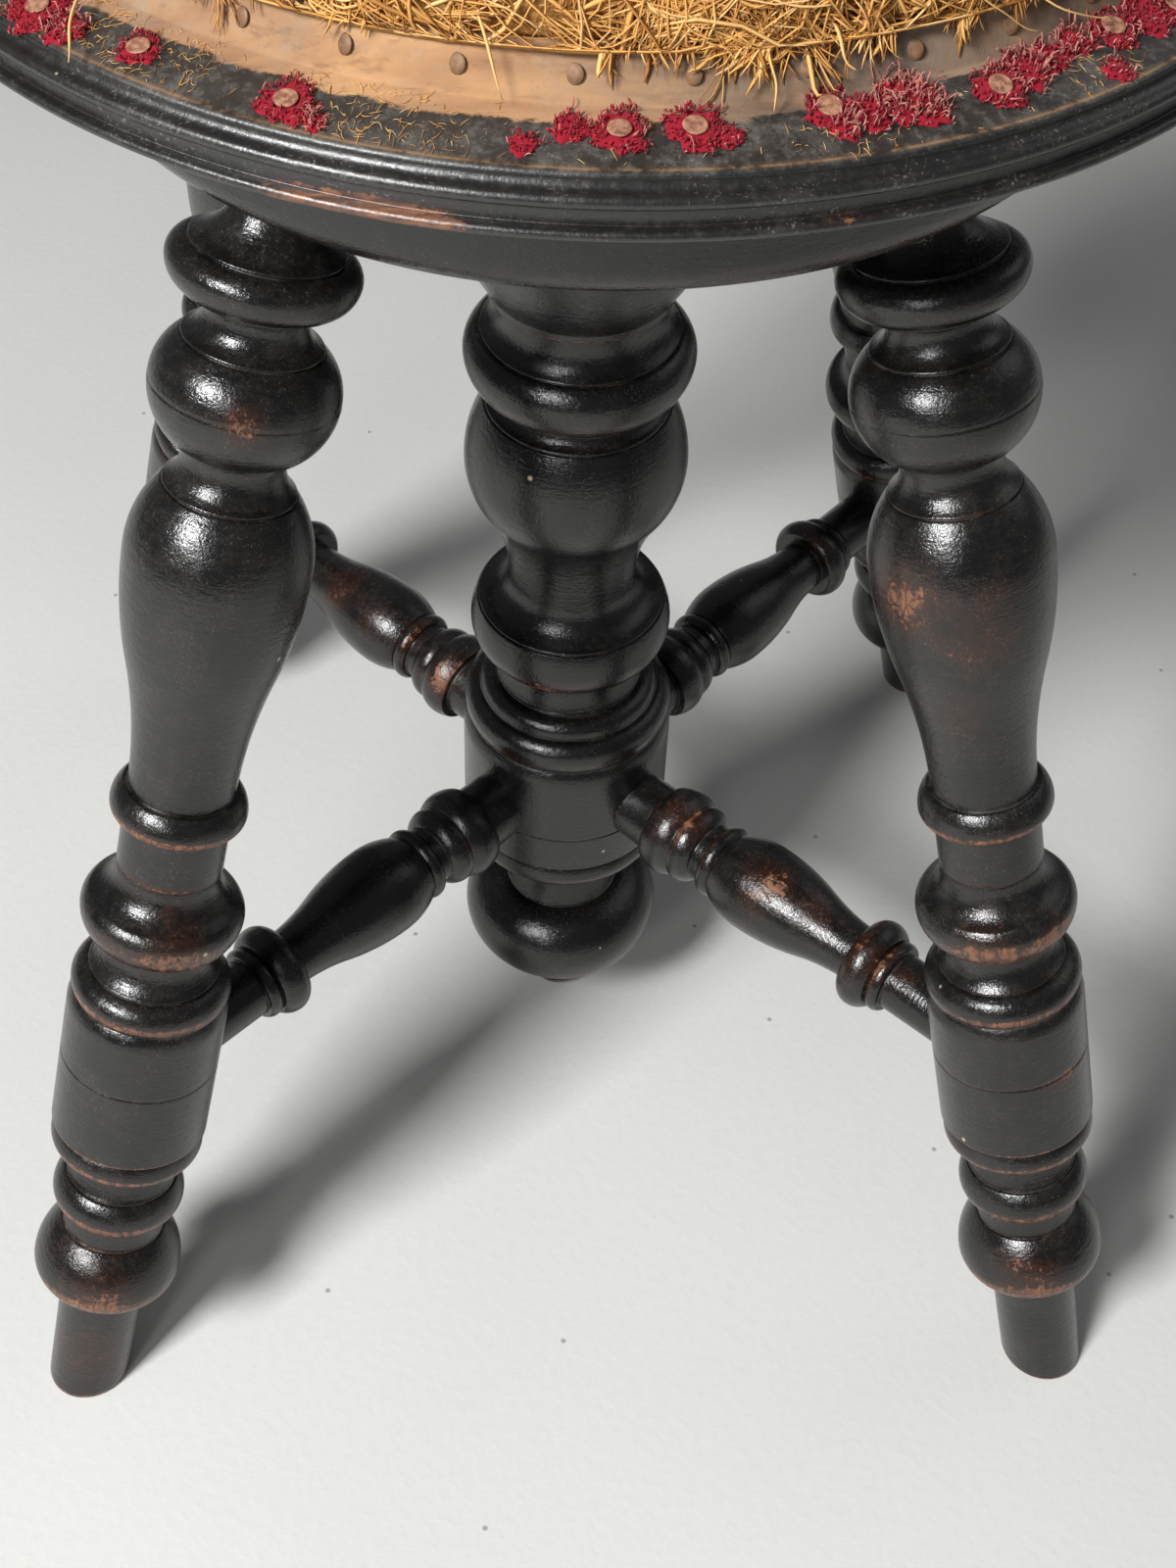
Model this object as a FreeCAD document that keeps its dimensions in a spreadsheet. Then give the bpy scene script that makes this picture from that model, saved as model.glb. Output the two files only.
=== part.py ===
# Adjustable round piano stool, millimetres, +Z up.
# The origin is on the floor under the centre column; the front of the stool looks along -Y.
import math
import os

import FreeCAD
import Part
import Sketcher

os.makedirs("parts", exist_ok=True)
doc = FreeCAD.newDocument("PianoStool")
sheet = doc.addObject("Spreadsheet::Sheet", "Sizes")

# Every independent size of the stool. Heights of turned work are lengths along the turning.
SIZES = {
    # stance
    "splay_angle": 17.2, "foot_circle_radius": 230.8, "wood_gap": 0.2, "moving_gap": 0.3,
    # one turned leg, from the floor upward
    "peg_length": 48.7, "peg_end_radius": 13.0, "peg_top_radius": 13.6,
    "foot_ball_radius": 23.3, "foot_ball_low_length": 8.0, "foot_ball_high_length": 16.9,
    "foot_ball_base_radius": 18.2, "foot_ball_ring_radius": 15.5,
    "ankle_length": 10.2, "ankle_top_radius": 15.8,
    "ankle_bead_radius": 20.4, "ankle_bead_length": 12.6, "ankle_bead_base_radius": 18.0,
    "ankle_bead_top_radius": 16.8,
    "shin_length": 13.6, "shin_lip_radius": 16.5, "shin_radius": 15.3, "shin_top_radius": 16.2,
    "block_bead_radius": 23.2, "block_bead_length": 9.2, "block_bead_base_radius": 20.6,
    "block_bead_top_radius": 21.4, "block_quirk_radius": 21.0, "block_quirk_length": 0.9,
    "leg_block_radius": 23.6, "leg_block_length": 47.7, "block_ovolo_length": 5.2,
    "block_ovolo_radius": 21.9,
    "shoulder_bead_radius": 23.3, "shoulder_bead_length": 9.8, "shoulder_bead_top_radius": 19.2,
    "shoulder_length": 13.6, "shoulder_lip_radius": 18.4, "shoulder_radius": 15.2,
    "shoulder_top_radius": 15.8,
    "bell_base_radius": 19.6, "bell_radius": 23.4, "bell_low_length": 8.6, "bell_fall_length": 5.0,
    "bell_edge_radius": 21.2, "bell_hollow_length": 12.0, "wrist_radius": 15.0, "wrist_length": 16.4,
    "thin_bead_radius": 19.1, "thin_bead_length": 10.2, "thin_bead_edge_radius": 16.2,
    "leg_vase_radius": 24.4, "leg_vase_low_length": 74.0, "leg_vase_high_length": 20.5,
    "leg_vase_base_radius": 14.9, "leg_vase_ring_radius": 17.0,
    "throat_length": 13.6, "throat_lip_radius": 16.4, "throat_radius": 13.2, "throat_top_radius": 14.6,
    "knee_ball_radius": 23.8, "knee_ball_low_length": 14.0, "knee_ball_high_length": 12.4,
    "knee_ball_ring_radius": 17.6,
    "collar_neck_length": 12.4, "collar_lip_radius": 17.0, "collar_neck_radius": 12.9,
    "collar_base_radius": 14.4,
    "collar_radius": 23.5, "collar_length": 11.8, "collar_ring_radius": 18.4,
    "trumpet_radius": 17.0, "trumpet_length": 14.0,
    "leg_neck_radius": 9.3, "leg_neck_length": 9.4, "leg_tenon_length": 17.0,
    # platform disc
    "platform_radius": 133.0, "platform_thickness": 33.9, "platform_low_round": 10.0,
    "platform_high_round": 7.0,
    # centre column, from the drop finial up to the platform
    "column_cove_length": 28.0, "column_cove_low_radius": 20.0, "column_cove_top_radius": 21.0,
    "column_bead_radius": 34.6, "column_bead_length": 11.5, "column_bead_base_radius": 29.4,
    "column_bead_top_radius": 32.0, "column_quirk_radius": 31.5, "column_quirk_length": 1.0,
    "column_block_radius": 35.2, "column_block_length": 41.6, "column_ovolo_length": 6.0,
    "column_ovolo_radius": 33.0,
    "ring_bead_radius": 34.6, "ring_bead_length": 11.4, "ring_bead_edge_radius": 30.6,
    "ring_step_lip_radius": 28.4, "ring_step_radius": 24.4, "ring_step_length": 6.0,
    "waist_length": 15.4, "waist_low_radius": 22.8, "waist_top_radius": 24.0,
    "mid_bead_radius": 32.4, "mid_bead_length": 18.4, "mid_bead_edge_radius": 27.8,
    "mid_hollow_length": 17.5, "mid_hollow_lip_radius": 27.0, "column_neck_radius": 20.8,
    "column_vase_radius": 34.0, "column_vase_low_length": 40.3, "column_vase_high_length": 21.4,
    "column_vase_ring_radius": 27.6,
    "column_throat_length": 7.8, "column_throat_lip_radius": 26.8, "column_throat_radius": 24.0,
    "column_throat_top_radius": 24.6,
    "top_bead_radius": 34.0, "top_bead_length": 17.8, "top_bead_edge_radius": 29.0,
    "capital_neck_length": 13.8, "capital_lip_radius": 28.2, "capital_neck_radius": 24.6,
    "capital_neck_top_radius": 25.2, "capital_ring_radius": 27.0, "capital_ring_length": 2.0,
    "capital_radius": 46.0, "capital_flare_length": 86.3,
    "column_tenon_radius": 24.0, "column_bore_radius": 13.6, "column_bore_depth": 250.0,
    # drop finial under the column, from its tip upward
    "button_tip_radius": 6.4, "button_tip_length": 1.4, "button_radius": 10.6,
    "button_low_length": 6.8, "button_high_length": 12.3, "button_neck_radius": 8.6,
    "button_flare_length": 6.8, "button_flare_radius": 11.0, "drop_ball_base_radius": 14.2,
    "drop_ball_radius": 35.2, "drop_ball_low_length": 21.0, "drop_ball_high_length": 15.7,
    "drop_ball_ring_radius": 22.2, "drop_spigot_radius": 9.0, "drop_spigot_length": 26.0,
    # stretcher, from the column outward
    "stretcher_leg_drop": 4.55, "socket_depth": 14.0,
    "barrel_low_radius": 11.2, "barrel_radius": 11.8, "barrel_length": 11.8,
    "big_bead_base_radius": 14.2, "big_bead_radius": 15.7, "big_bead_length": 11.5,
    "big_bead_end_radius": 13.4,
    "second_ring_radius": 13.9, "second_ring_length": 7.5, "second_ring_end_radius": 10.6,
    "stretcher_groove_radius": 10.4, "stretcher_groove_length": 3.8,
    "small_bead_base_radius": 11.4, "small_bead_radius": 12.9, "small_bead_length": 5.2,
    "stretcher_vase_base_radius": 12.0, "stretcher_vase_radius": 15.6,
    "stretcher_vase_high_length": 13.8, "stretcher_vase_low_length": 42.0,
    "stretcher_waist_radius": 9.4,
    "end_bead_base_radius": 13.0, "end_bead_radius": 15.4, "end_bead_length": 10.0,
    "end_bead_top_radius": 12.6,
    "end_ring_base_radius": 11.3, "end_ring_radius": 12.4, "end_ring_length": 4.6,
    "end_neck_radius": 9.8,
    # iron screw work
    "screw_radius": 12.5, "screw_length": 222.0, "screw_fit": 0.05, "screw_spigot_radius": 9.0,
    "screw_nose_length": 3.8, "spigot_room": 2.0,
    "nut_plate_radius": 40.0, "nut_plate_thickness": 4.0,
    "washer_radius": 30.0, "washer_thickness": 2.0,
    "flange_radius": 44.0, "flange_thickness": 5.0,
    "fixing_radius": 2.4, "fixing_head_radius": 4.6, "fixing_length": 16.0,
    "nut_fixing_circle": 31.0, "flange_fixing_circle": 36.0,
    # seat board
    "seat_radius": 170.0, "seat_lip_height": 2.4, "seat_fascia_height": 3.6,
    "seat_fascia_inset": 2.6, "seat_ovolo_inset": 0.9, "seat_ovolo_end_inset": 2.2,
    "seat_ovolo_width": 4.6, "seat_ovolo_height": 3.1, "seat_hollow_height": 2.1,
    "seat_quirk_height": 1.2, "seat_crest_lip": 0.6,
    "seat_band_width": 16.5, "seat_band_rise": 3.6,
    "upstand_height": 10.0, "upstand_draw": 4.5,
    # stuffing and what is left of the cover
    "stuffing_swell": 3.5, "stuffing_side_height": 21.0, "stuffing_edge_draw": 6.0,
    "stuffing_roll_width": 22.0, "stuffing_roll_height": 3.5, "stuffing_roll_dip": 2.6,
    "stuffing_dip_width": 11.0, "stuffing_crown": 12.0,
    "stud_radius": 2.5, "stud_crown_radius": 1.5, "stud_height": 1.4, "stud_gap": 0.05,
    "scrap_radius": 6.0, "scrap_thickness": 1.8,
}
STUD_COUNT = 42
# Where the cover's nails still stand, turned from +X; read from the photo at the front.
SCRAP_AZIMUTHS = [224.3, 233.8, 246.1, 262.6, 269, 274.2, 284, 290, 297, 302.6, 309.3, 316, 330, 344,
                  358, 16, 33, 52, 75, 97, 118, 133, 150, 171, 186, 203, 212]
FIXING_COUNT = 4
# A drilled hole starts this many block radii from the axis, clear of the wood.
OUTSIDE = 1.4
LEGS = {"front_left": 225, "front_right": 315, "back_right": 45, "back_left": 135}

for row, (name, value) in enumerate(SIZES.items(), start=1):
    sheet.set("A%d" % row, name)
    sheet.set("B%d" % row, str(value))
    sheet.setAlias("B%d" % row, name)
doc.recompute()


class Size:
    # A number that also carries the sheet formula it comes from.
    def __init__(self, value, text):
        self.value = float(value)
        self.text = text

    def __add__(self, other):
        other = size(other)
        return Size(self.value + other.value, "(%s + %s)" % (self.text, other.text))

    def __sub__(self, other):
        other = size(other)
        return Size(self.value - other.value, "(%s - %s)" % (self.text, other.text))

    def __mul__(self, other):
        other = size(other)
        return Size(self.value * other.value, "(%s * %s)" % (self.text, other.text))

    def __truediv__(self, other):
        other = size(other)
        return Size(self.value / other.value, "(%s / %s)" % (self.text, other.text))

    def __neg__(self):
        return Size(-self.value, "(0 - %s)" % self.text)


def size(number):
    if isinstance(number, Size):
        return number
    return Size(number, "%.6g" % number)


def sine(angle):
    return Size(math.sin(math.radians(angle.value)), "sin(%s)" % angle.text)


def cosine(angle):
    return Size(math.cos(math.radians(angle.value)), "cos(%s)" % angle.text)


def arc_tangent(ratio):
    return Size(math.degrees(math.atan(ratio.value)), "atan(%s)" % ratio.text)


def root(square):
    return Size(math.sqrt(square.value), "sqrt(%s)" % square.text)


class Sizes:
    def __getattr__(self, name):
        return Size(SIZES[name], "Sizes.%s" % name)


S = Sizes()


def plane_of(body, role):
    return [item for item in body.Origin.OriginFeatures if item.Role == role][0]


def new_body(name):
    body = doc.addObject("PartDesign::Body", name)
    body.Label = name
    return body


def new_sketch(body, name, role="XZ_Plane"):
    sketch = body.newObject("Sketcher::SketchObject", name)
    sketch.AttachmentSupport = [(plane_of(body, role), "")]
    sketch.MapMode = "FlatFace"
    return sketch


def point_rules(geo, end, across, up):
    # Two rules that hold one end of a sketch edge at two sizes from the origin.
    rules = []
    for axis, kind, number in ((-2, "DistanceX", across), (-1, "DistanceY", up)):
        if number.text == "0":
            rules.append((Sketcher.Constraint("PointOnObject", geo, end, axis), None))
        else:
            rule = Sketcher.Constraint(kind, -1, 1, geo, end, number.value)
            rules.append((rule, number.text))
    return rules


def add_rules(sketch, rules):
    # Adds all rules at once, then ties each one that has a formula to the sheet.
    first = sketch.ConstraintCount
    sketch.addConstraint([rule for rule, text in rules])
    for index, (rule, text) in enumerate(rules, start=first):
        if text is not None:
            sketch.setExpression("Constraints[%d]" % index, text)


def outline(sketch, points, arcs=None):
    # A closed chain of edges through the points; arcs maps an edge to its (radius, outward).
    arcs = arcs or {}
    ends = []
    rules = []
    for index, start in enumerate(points):
        stop = points[(index + 1) % len(points)]
        from_point = FreeCAD.Vector(start[0].value, start[1].value, 0)
        to_point = FreeCAD.Vector(stop[0].value, stop[1].value, 0)
        if index not in arcs:
            sketch.addGeometry(Part.LineSegment(from_point, to_point), False)
            ends.append((1, 2))
            continue
        arc_radius, outward = arcs[index]
        centre = arc_centre(from_point, to_point, arc_radius.value, outward)
        first = math.atan2(from_point.y - centre.y, from_point.x - centre.x)
        last = math.atan2(to_point.y - centre.y, to_point.x - centre.x)
        circle = Part.Circle(centre, FreeCAD.Vector(0, 0, 1), arc_radius.value)
        if outward:
            sketch.addGeometry(Part.ArcOfCircle(circle, first, last), False)
            ends.append((1, 2))
        else:
            sketch.addGeometry(Part.ArcOfCircle(circle, last, first), False)
            ends.append((2, 1))
        rules.append((Sketcher.Constraint("Radius", index, arc_radius.value), arc_radius.text))
    for index, (across, up) in enumerate(points):
        before = index - 1 if index else len(points) - 1
        joint = Sketcher.Constraint("Coincident", before, ends[before][1], index, ends[index][0])
        rules.append((joint, None))
        rules += point_rules(index, ends[index][0], across, up)
    add_rules(sketch, rules)


def arc_centre(start, stop, radius, outward):
    # Outward arcs swell away from the turning axis, the others are hollow.
    chord = stop - start
    half = chord.Length / 2.0
    normal = FreeCAD.Vector(chord.y, -chord.x, 0).normalize()
    offset = math.sqrt(max(radius * radius - half * half, 0.0))
    return (start + stop) * 0.5 + normal * (-offset if outward else offset)


class Turning:
    # A closed half profile (radius across, length up) that is revolved into one turned solid.
    def __init__(self, radius, height):
        self.points = [(size(radius), size(height))]
        self.edges = []
        self.marks = {}

    @property
    def top(self):
        return self.points[-1][1]

    @property
    def edge_radius(self):
        return self.points[-1][0]

    def line(self, radius, height):
        self.points.append((size(radius), size(height)))
        self.edges.append(None)
        return self

    def up(self, length, radius=None):
        return self.line(self.edge_radius if radius is None else radius, self.top + length)

    def step(self, radius):
        return self.line(radius, self.top)

    def mark(self, name):
        self.marks[name] = self.top
        return self

    def arc(self, radius, height, arc_radius, outward):
        self.points.append((size(radius), size(height)))
        self.edges.append((arc_radius, outward))
        return self

    def swell_to_crest(self, crest, length):
        # quarter-like curve that stands upright at its upper end
        dr = size(crest) - self.edge_radius
        dh = size(length)
        return self.arc(crest, self.top + length, (dr * dr + dh * dh) / (dr * 2), True)

    def fall_from_crest(self, radius, length):
        dr = self.edge_radius - radius
        dh = size(length)
        return self.arc(radius, self.top + length, (dr * dr + dh * dh) / (dr * 2), True)

    def bead(self, crest, length, radius, low=0.5):
        self.swell_to_crest(crest, length * low)
        return self.fall_from_crest(radius, length * (1.0 - low))

    def hollow(self, radius, length):
        # hollow curve that stands upright at its narrow end, which may be either end
        dr = size(radius) - self.edge_radius
        dh = size(length)
        sign = 2.0 if dr.value > 0 else -2.0
        return self.arc(radius, self.top + length, (dr * dr + dh * dh) / (dr * sign), False)

    def neck(self, narrow, length, radius, low=0.6):
        self.hollow(narrow, length * low)
        return self.hollow(radius, length * (1.0 - low))

    def cove(self, radius, length, depth):
        return self.bow(radius, length, depth, False)

    def bow(self, radius, length, depth, outward=True):
        # an arc whose sagitta is the given part of its chord
        dr = size(radius) - self.edge_radius
        dh = size(length)
        chord = root(dr * dr + dh * dh)
        return self.arc(radius, self.top + length, chord * ((0.25 + depth * depth) / (2 * depth)), outward)

    def dome(self, length):
        # a round cap that reaches the axis level
        reach = self.edge_radius
        rise = size(length)
        return self.arc(0, self.top + length, (reach * reach + rise * rise) / (rise * 2), True)

    def ogee(self, radius, length, share=0.5):
        # two tangent arcs, both ends upright; share is the part of the height of the first arc
        dr = size(radius) - self.edge_radius
        dh = size(length)
        growing = dr.value > 0
        first_r = dr * share
        first_h = dh * share
        rest_r = dr * (1.0 - share)
        rest_h = dh * (1.0 - share)
        sign = 1.0 if growing else -1.0
        arc_one = (first_r * first_r + first_h * first_h) / (first_r * (2.0 * sign))
        arc_two = (rest_r * rest_r + rest_h * rest_h) / (rest_r * (2.0 * sign))
        start = self.edge_radius
        base = self.top
        self.arc(start + first_r, base + first_h, arc_one, not growing)
        return self.arc(radius, base + length, arc_two, growing)

    def solid(self, body, name):
        sketch = new_sketch(body, name + "_profile")
        outline(sketch, self.points, dict(enumerate_arcs(self.edges)))
        feature = body.newObject("PartDesign::Revolution", name)
        feature.Profile = sketch
        feature.ReferenceAxis = (sketch, ["V_Axis"])
        feature.Angle = 360
        body.Tip = feature
        return feature


def enumerate_arcs(edges):
    return [(index, edge) for index, edge in enumerate(edges) if edge is not None]


def spun(body, name, points, axis, kind="PartDesign::Revolution"):
    # Turns an outline about its own axis line, to add a peg or to cut a round hole.
    sketch = new_sketch(body, name + "_outline")
    outline(sketch, points)
    (x1, y1), (x2, y2) = axis
    line = Part.LineSegment(FreeCAD.Vector(x1.value, y1.value, 0), FreeCAD.Vector(x2.value, y2.value, 0))
    geo = sketch.addGeometry(line, True)
    add_rules(sketch, point_rules(geo, 1, x1, y1) + point_rules(geo, 2, x2, y2))
    feature = body.newObject(kind, name)
    feature.Profile = sketch
    feature.ReferenceAxis = (sketch, ["Axis0"])
    feature.Angle = 360
    body.Tip = feature
    return feature


def ring_of(body, feature, count):
    pattern = body.newObject("PartDesign::PolarPattern", feature.Name + "_ring")
    pattern.Originals = [feature]
    pattern.Axis = (plane_of(body, "Z_Axis"), [""])
    pattern.Angle = 360
    pattern.Occurrences = count
    body.Tip = pattern
    return pattern


def drill(body, name, mouth, floor, radius, count=1):
    # A round hole from a point outside the wood to its flat floor, in the XZ plane.
    (x1, z1), (x2, z2) = mouth, floor
    dx = x2 - x1
    dz = z2 - z1
    reach = root(dx * dx + dz * dz)
    side_x = dz / reach * radius
    side_z = -(dx / reach) * radius
    corners = [mouth, floor, (x2 + side_x, z2 + side_z), (x1 + side_x, z1 + side_z)]
    groove = spun(body, name, corners, (mouth, floor), "PartDesign::Groove")
    if count > 1:
        ring_of(body, groove, count)


def wood_screw(across, face, gap, downward=True):
    # Half outline of a countersunk wood screw whose head lies flush with the face.
    sign = -1.0 if downward else 1.0
    head = S.fixing_head_radius - S.fixing_radius
    neck = face + head * sign
    tail = face + (S.fixing_length + gap) * sign
    tip = tail + S.fixing_radius * sign
    points = [(across, face), (across + S.fixing_head_radius + gap, face)]
    points += [(across + S.fixing_radius + gap, neck), (across + S.fixing_radius + gap, tail)]
    return points + [(across, tip)]


def place(body, height, turn=0.0):
    body.Placement = FreeCAD.Placement(
        FreeCAD.Vector(0, 0, height.value), FreeCAD.Rotation(FreeCAD.Vector(0, 0, 1), turn))
    body.setExpression(".Placement.Base.z", height.text)


# Where the turned legs stand and what that makes of the platform height.
PEG_TIP = S.peg_end_radius * 2
tilt = S.splay_angle
lean_in = sine(tilt)
lean_up = cosine(tilt)
foot_slope = lean_in / lean_up


def leg_turning():
    profile = Turning(0, -PEG_TIP)
    profile.step(S.peg_end_radius).line(S.peg_top_radius, S.peg_length)
    profile.step(S.foot_ball_base_radius)
    profile.swell_to_crest(S.foot_ball_radius, S.foot_ball_low_length)
    profile.fall_from_crest(S.foot_ball_ring_radius, S.foot_ball_high_length)
    profile.cove(S.ankle_top_radius, S.ankle_length, depth=0.06)
    profile.step(S.ankle_bead_base_radius)
    profile.bead(S.ankle_bead_radius, S.ankle_bead_length, S.ankle_bead_top_radius, low=0.42)
    profile.step(S.shin_lip_radius)
    profile.neck(S.shin_radius, S.shin_length, S.shin_top_radius)
    profile.step(S.block_bead_base_radius)
    profile.bead(S.block_bead_radius, S.block_bead_length, S.block_bead_top_radius, low=0.4)
    profile.step(S.block_quirk_radius).up(S.block_quirk_length)
    profile.step(S.leg_block_radius).mark("block_bottom")
    profile.up(S.leg_block_length)
    profile.fall_from_crest(S.block_ovolo_radius, S.block_ovolo_length)
    profile.bead(S.shoulder_bead_radius, S.shoulder_bead_length, S.shoulder_bead_top_radius, low=0.42)
    profile.step(S.shoulder_lip_radius)
    profile.neck(S.shoulder_radius, S.shoulder_length, S.shoulder_top_radius)
    profile.step(S.bell_base_radius)
    profile.swell_to_crest(S.bell_radius, S.bell_low_length)
    profile.fall_from_crest(S.bell_edge_radius, S.bell_fall_length)
    profile.cove(S.wrist_radius, S.bell_hollow_length, depth=0.2)
    profile.up(S.wrist_length)
    profile.step(S.thin_bead_edge_radius)
    profile.bead(S.thin_bead_radius, S.thin_bead_length, S.thin_bead_edge_radius, low=0.35)
    profile.step(S.leg_vase_base_radius)
    profile.ogee(S.leg_vase_radius, S.leg_vase_low_length, share=0.55)
    profile.fall_from_crest(S.leg_vase_ring_radius, S.leg_vase_high_length)
    profile.step(S.throat_lip_radius)
    profile.neck(S.throat_radius, S.throat_length, S.throat_top_radius)
    profile.step(S.knee_ball_ring_radius)
    profile.swell_to_crest(S.knee_ball_radius, S.knee_ball_low_length)
    profile.fall_from_crest(S.knee_ball_ring_radius, S.knee_ball_high_length)
    profile.step(S.collar_lip_radius)
    profile.neck(S.collar_neck_radius, S.collar_neck_length, S.collar_base_radius)
    profile.step(S.collar_ring_radius)
    profile.bead(S.collar_radius, S.collar_length, S.collar_ring_radius, low=0.6)
    profile.step(S.trumpet_radius)
    profile.hollow(S.leg_neck_radius, S.trumpet_length)
    profile.up(S.leg_neck_length + S.leg_tenon_length)
    return profile.step(0)


LEG = leg_turning()
leg_reach = LEG.top - S.leg_tenon_length
platform_bottom = leg_reach * lean_up


def column_turning():
    # From the seat of the drop finial up to the top of the platform tenon.
    profile = Turning(0, 0)
    profile.step(S.column_cove_low_radius)
    profile.cove(S.column_cove_top_radius, S.column_cove_length, depth=0.1)
    profile.step(S.column_bead_base_radius)
    profile.bead(S.column_bead_radius, S.column_bead_length, S.column_bead_top_radius)
    profile.step(S.column_quirk_radius).up(S.column_quirk_length)
    profile.step(S.column_block_radius).mark("block_bottom")
    profile.up(S.column_block_length)
    profile.fall_from_crest(S.column_ovolo_radius, S.column_ovolo_length)
    profile.bead(S.ring_bead_radius, S.ring_bead_length, S.ring_bead_edge_radius)
    profile.step(S.ring_step_lip_radius)
    profile.bow(S.ring_step_radius, S.ring_step_length, depth=0.2)
    profile.step(S.waist_low_radius)
    profile.cove(S.waist_top_radius, S.waist_length, depth=0.12)
    profile.step(S.mid_bead_edge_radius)
    profile.bead(S.mid_bead_radius, S.mid_bead_length, S.mid_bead_edge_radius, low=0.55)
    profile.step(S.mid_hollow_lip_radius)
    profile.hollow(S.column_neck_radius, S.mid_hollow_length)
    profile.ogee(S.column_vase_radius, S.column_vase_low_length, share=0.4)
    profile.fall_from_crest(S.column_vase_ring_radius, S.column_vase_high_length)
    profile.step(S.column_throat_lip_radius)
    profile.neck(S.column_throat_radius, S.column_throat_length, S.column_throat_top_radius)
    profile.step(S.top_bead_edge_radius)
    profile.bead(S.top_bead_radius, S.top_bead_length, S.top_bead_edge_radius, low=0.58)
    profile.step(S.capital_lip_radius)
    profile.neck(S.capital_neck_radius, S.capital_neck_length, S.capital_neck_top_radius)
    profile.step(S.capital_ring_radius).up(S.capital_ring_length)
    profile.bow(S.capital_radius, S.capital_flare_length, depth=0.09)
    profile.step(S.column_tenon_radius).mark("shoulder")
    profile.up(S.platform_thickness - S.nut_plate_thickness - S.moving_gap)
    return profile.step(0)


def finial_turning():
    profile = Turning(0, 0)
    profile.bow(S.button_tip_radius, S.button_tip_length, depth=0.08)
    profile.swell_to_crest(S.button_radius, S.button_low_length)
    profile.ogee(S.button_neck_radius, S.button_high_length)
    profile.hollow(S.button_flare_radius, S.button_flare_length)
    profile.step(S.drop_ball_base_radius)
    profile.swell_to_crest(S.drop_ball_radius, S.drop_ball_low_length)
    profile.fall_from_crest(S.drop_ball_ring_radius, S.drop_ball_high_length).mark("seat")
    profile.step(S.drop_spigot_radius).up(S.drop_spigot_length)
    return profile.step(0)


COLUMN = column_turning()
FINIAL = finial_turning()
column_height = platform_bottom - COLUMN.marks["shoulder"]
finial_height = column_height - FINIAL.marks["seat"]
platform_top = platform_bottom + S.platform_thickness
seat_bottom = platform_top + S.washer_thickness + S.moving_gap * 2 + S.flange_thickness
flange_bottom = seat_bottom - S.flange_thickness

# The stretcher runs from the middle of the column block to the leg block, just below its middle.
socket_along = LEG.marks["block_bottom"] + S.leg_block_length / 2 - S.stretcher_leg_drop
leg_side_x = S.foot_circle_radius - socket_along * lean_in
leg_side_z = socket_along * lean_up
column_side_z = column_height + COLUMN.marks["block_bottom"] + S.column_block_length / 2
rise = leg_side_z - column_side_z
stretcher_span = root(leg_side_x * leg_side_x + rise * rise)
across = leg_side_x / stretcher_span
upward = rise / stretcher_span


def stretcher_turning():
    profile = Turning(0, S.column_block_radius - S.socket_depth)
    profile.step(S.barrel_low_radius)
    profile.line(S.barrel_radius, S.column_block_radius + S.barrel_length)
    profile.step(S.big_bead_base_radius)
    profile.bead(S.big_bead_radius, S.big_bead_length, S.big_bead_end_radius)
    profile.bead(S.second_ring_radius, S.second_ring_length, S.second_ring_end_radius, low=0.25)
    profile.step(S.stretcher_groove_radius).up(S.stretcher_groove_length)
    profile.step(S.small_bead_base_radius)
    profile.bead(S.small_bead_radius, S.small_bead_length, S.small_bead_base_radius)
    profile.step(S.stretcher_vase_base_radius)
    profile.swell_to_crest(S.stretcher_vase_radius, S.stretcher_vase_high_length)
    profile.ogee(S.stretcher_waist_radius, S.stretcher_vase_low_length, share=0.55)
    profile.step(S.end_bead_base_radius)
    profile.bead(S.end_bead_radius, S.end_bead_length, S.end_bead_top_radius, low=0.45)
    profile.step(S.end_ring_base_radius)
    profile.bead(S.end_ring_radius, S.end_ring_length, S.end_ring_base_radius)
    profile.step(S.end_neck_radius)
    profile.line(S.end_neck_radius, stretcher_span - S.leg_block_radius + S.socket_depth)
    return profile.step(0)


def make_leg(name, azimuth):
    body = new_body(name)
    LEG.solid(body, name + "_turning")
    wide = S.peg_top_radius * 2
    cut = new_sketch(body, name + "_floor_line")
    drop = -(PEG_TIP + wide)
    outline(cut, [(wide, -(wide * foot_slope)), (-wide, wide * foot_slope), (-wide, drop), (wide, drop)])
    pocket = body.newObject("PartDesign::Pocket", name + "_floor_cut")
    pocket.Profile = cut
    pocket.SideType = "Symmetric"
    pocket.Length = (wide * 2).value
    pocket.setExpression("Length", (wide * 2).text)
    body.Tip = pocket
    # the stretcher comes in from the column side, seen in the leg's own leaning frame
    run_x = across * lean_up + upward * lean_in
    run_z = upward * lean_up - across * lean_in
    outside = S.leg_block_radius * OUTSIDE
    inside = S.leg_block_radius - S.socket_depth - S.moving_gap
    mouth = (-(run_x * outside), socket_along - run_z * outside)
    floor = (-(run_x * inside), socket_along - run_z * inside)
    drill(body, name + "_socket", mouth, floor, S.end_neck_radius + S.wood_gap)
    lean = FreeCAD.Rotation(FreeCAD.Vector(0, 1, 0), -tilt.value)
    out = FreeCAD.Placement(FreeCAD.Vector(S.foot_circle_radius.value, 0, 0), lean)
    spin = FreeCAD.Placement(FreeCAD.Vector(), FreeCAD.Rotation(FreeCAD.Vector(0, 0, 1), azimuth))
    body.Placement = spin.multiply(out)
    return body


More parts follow.
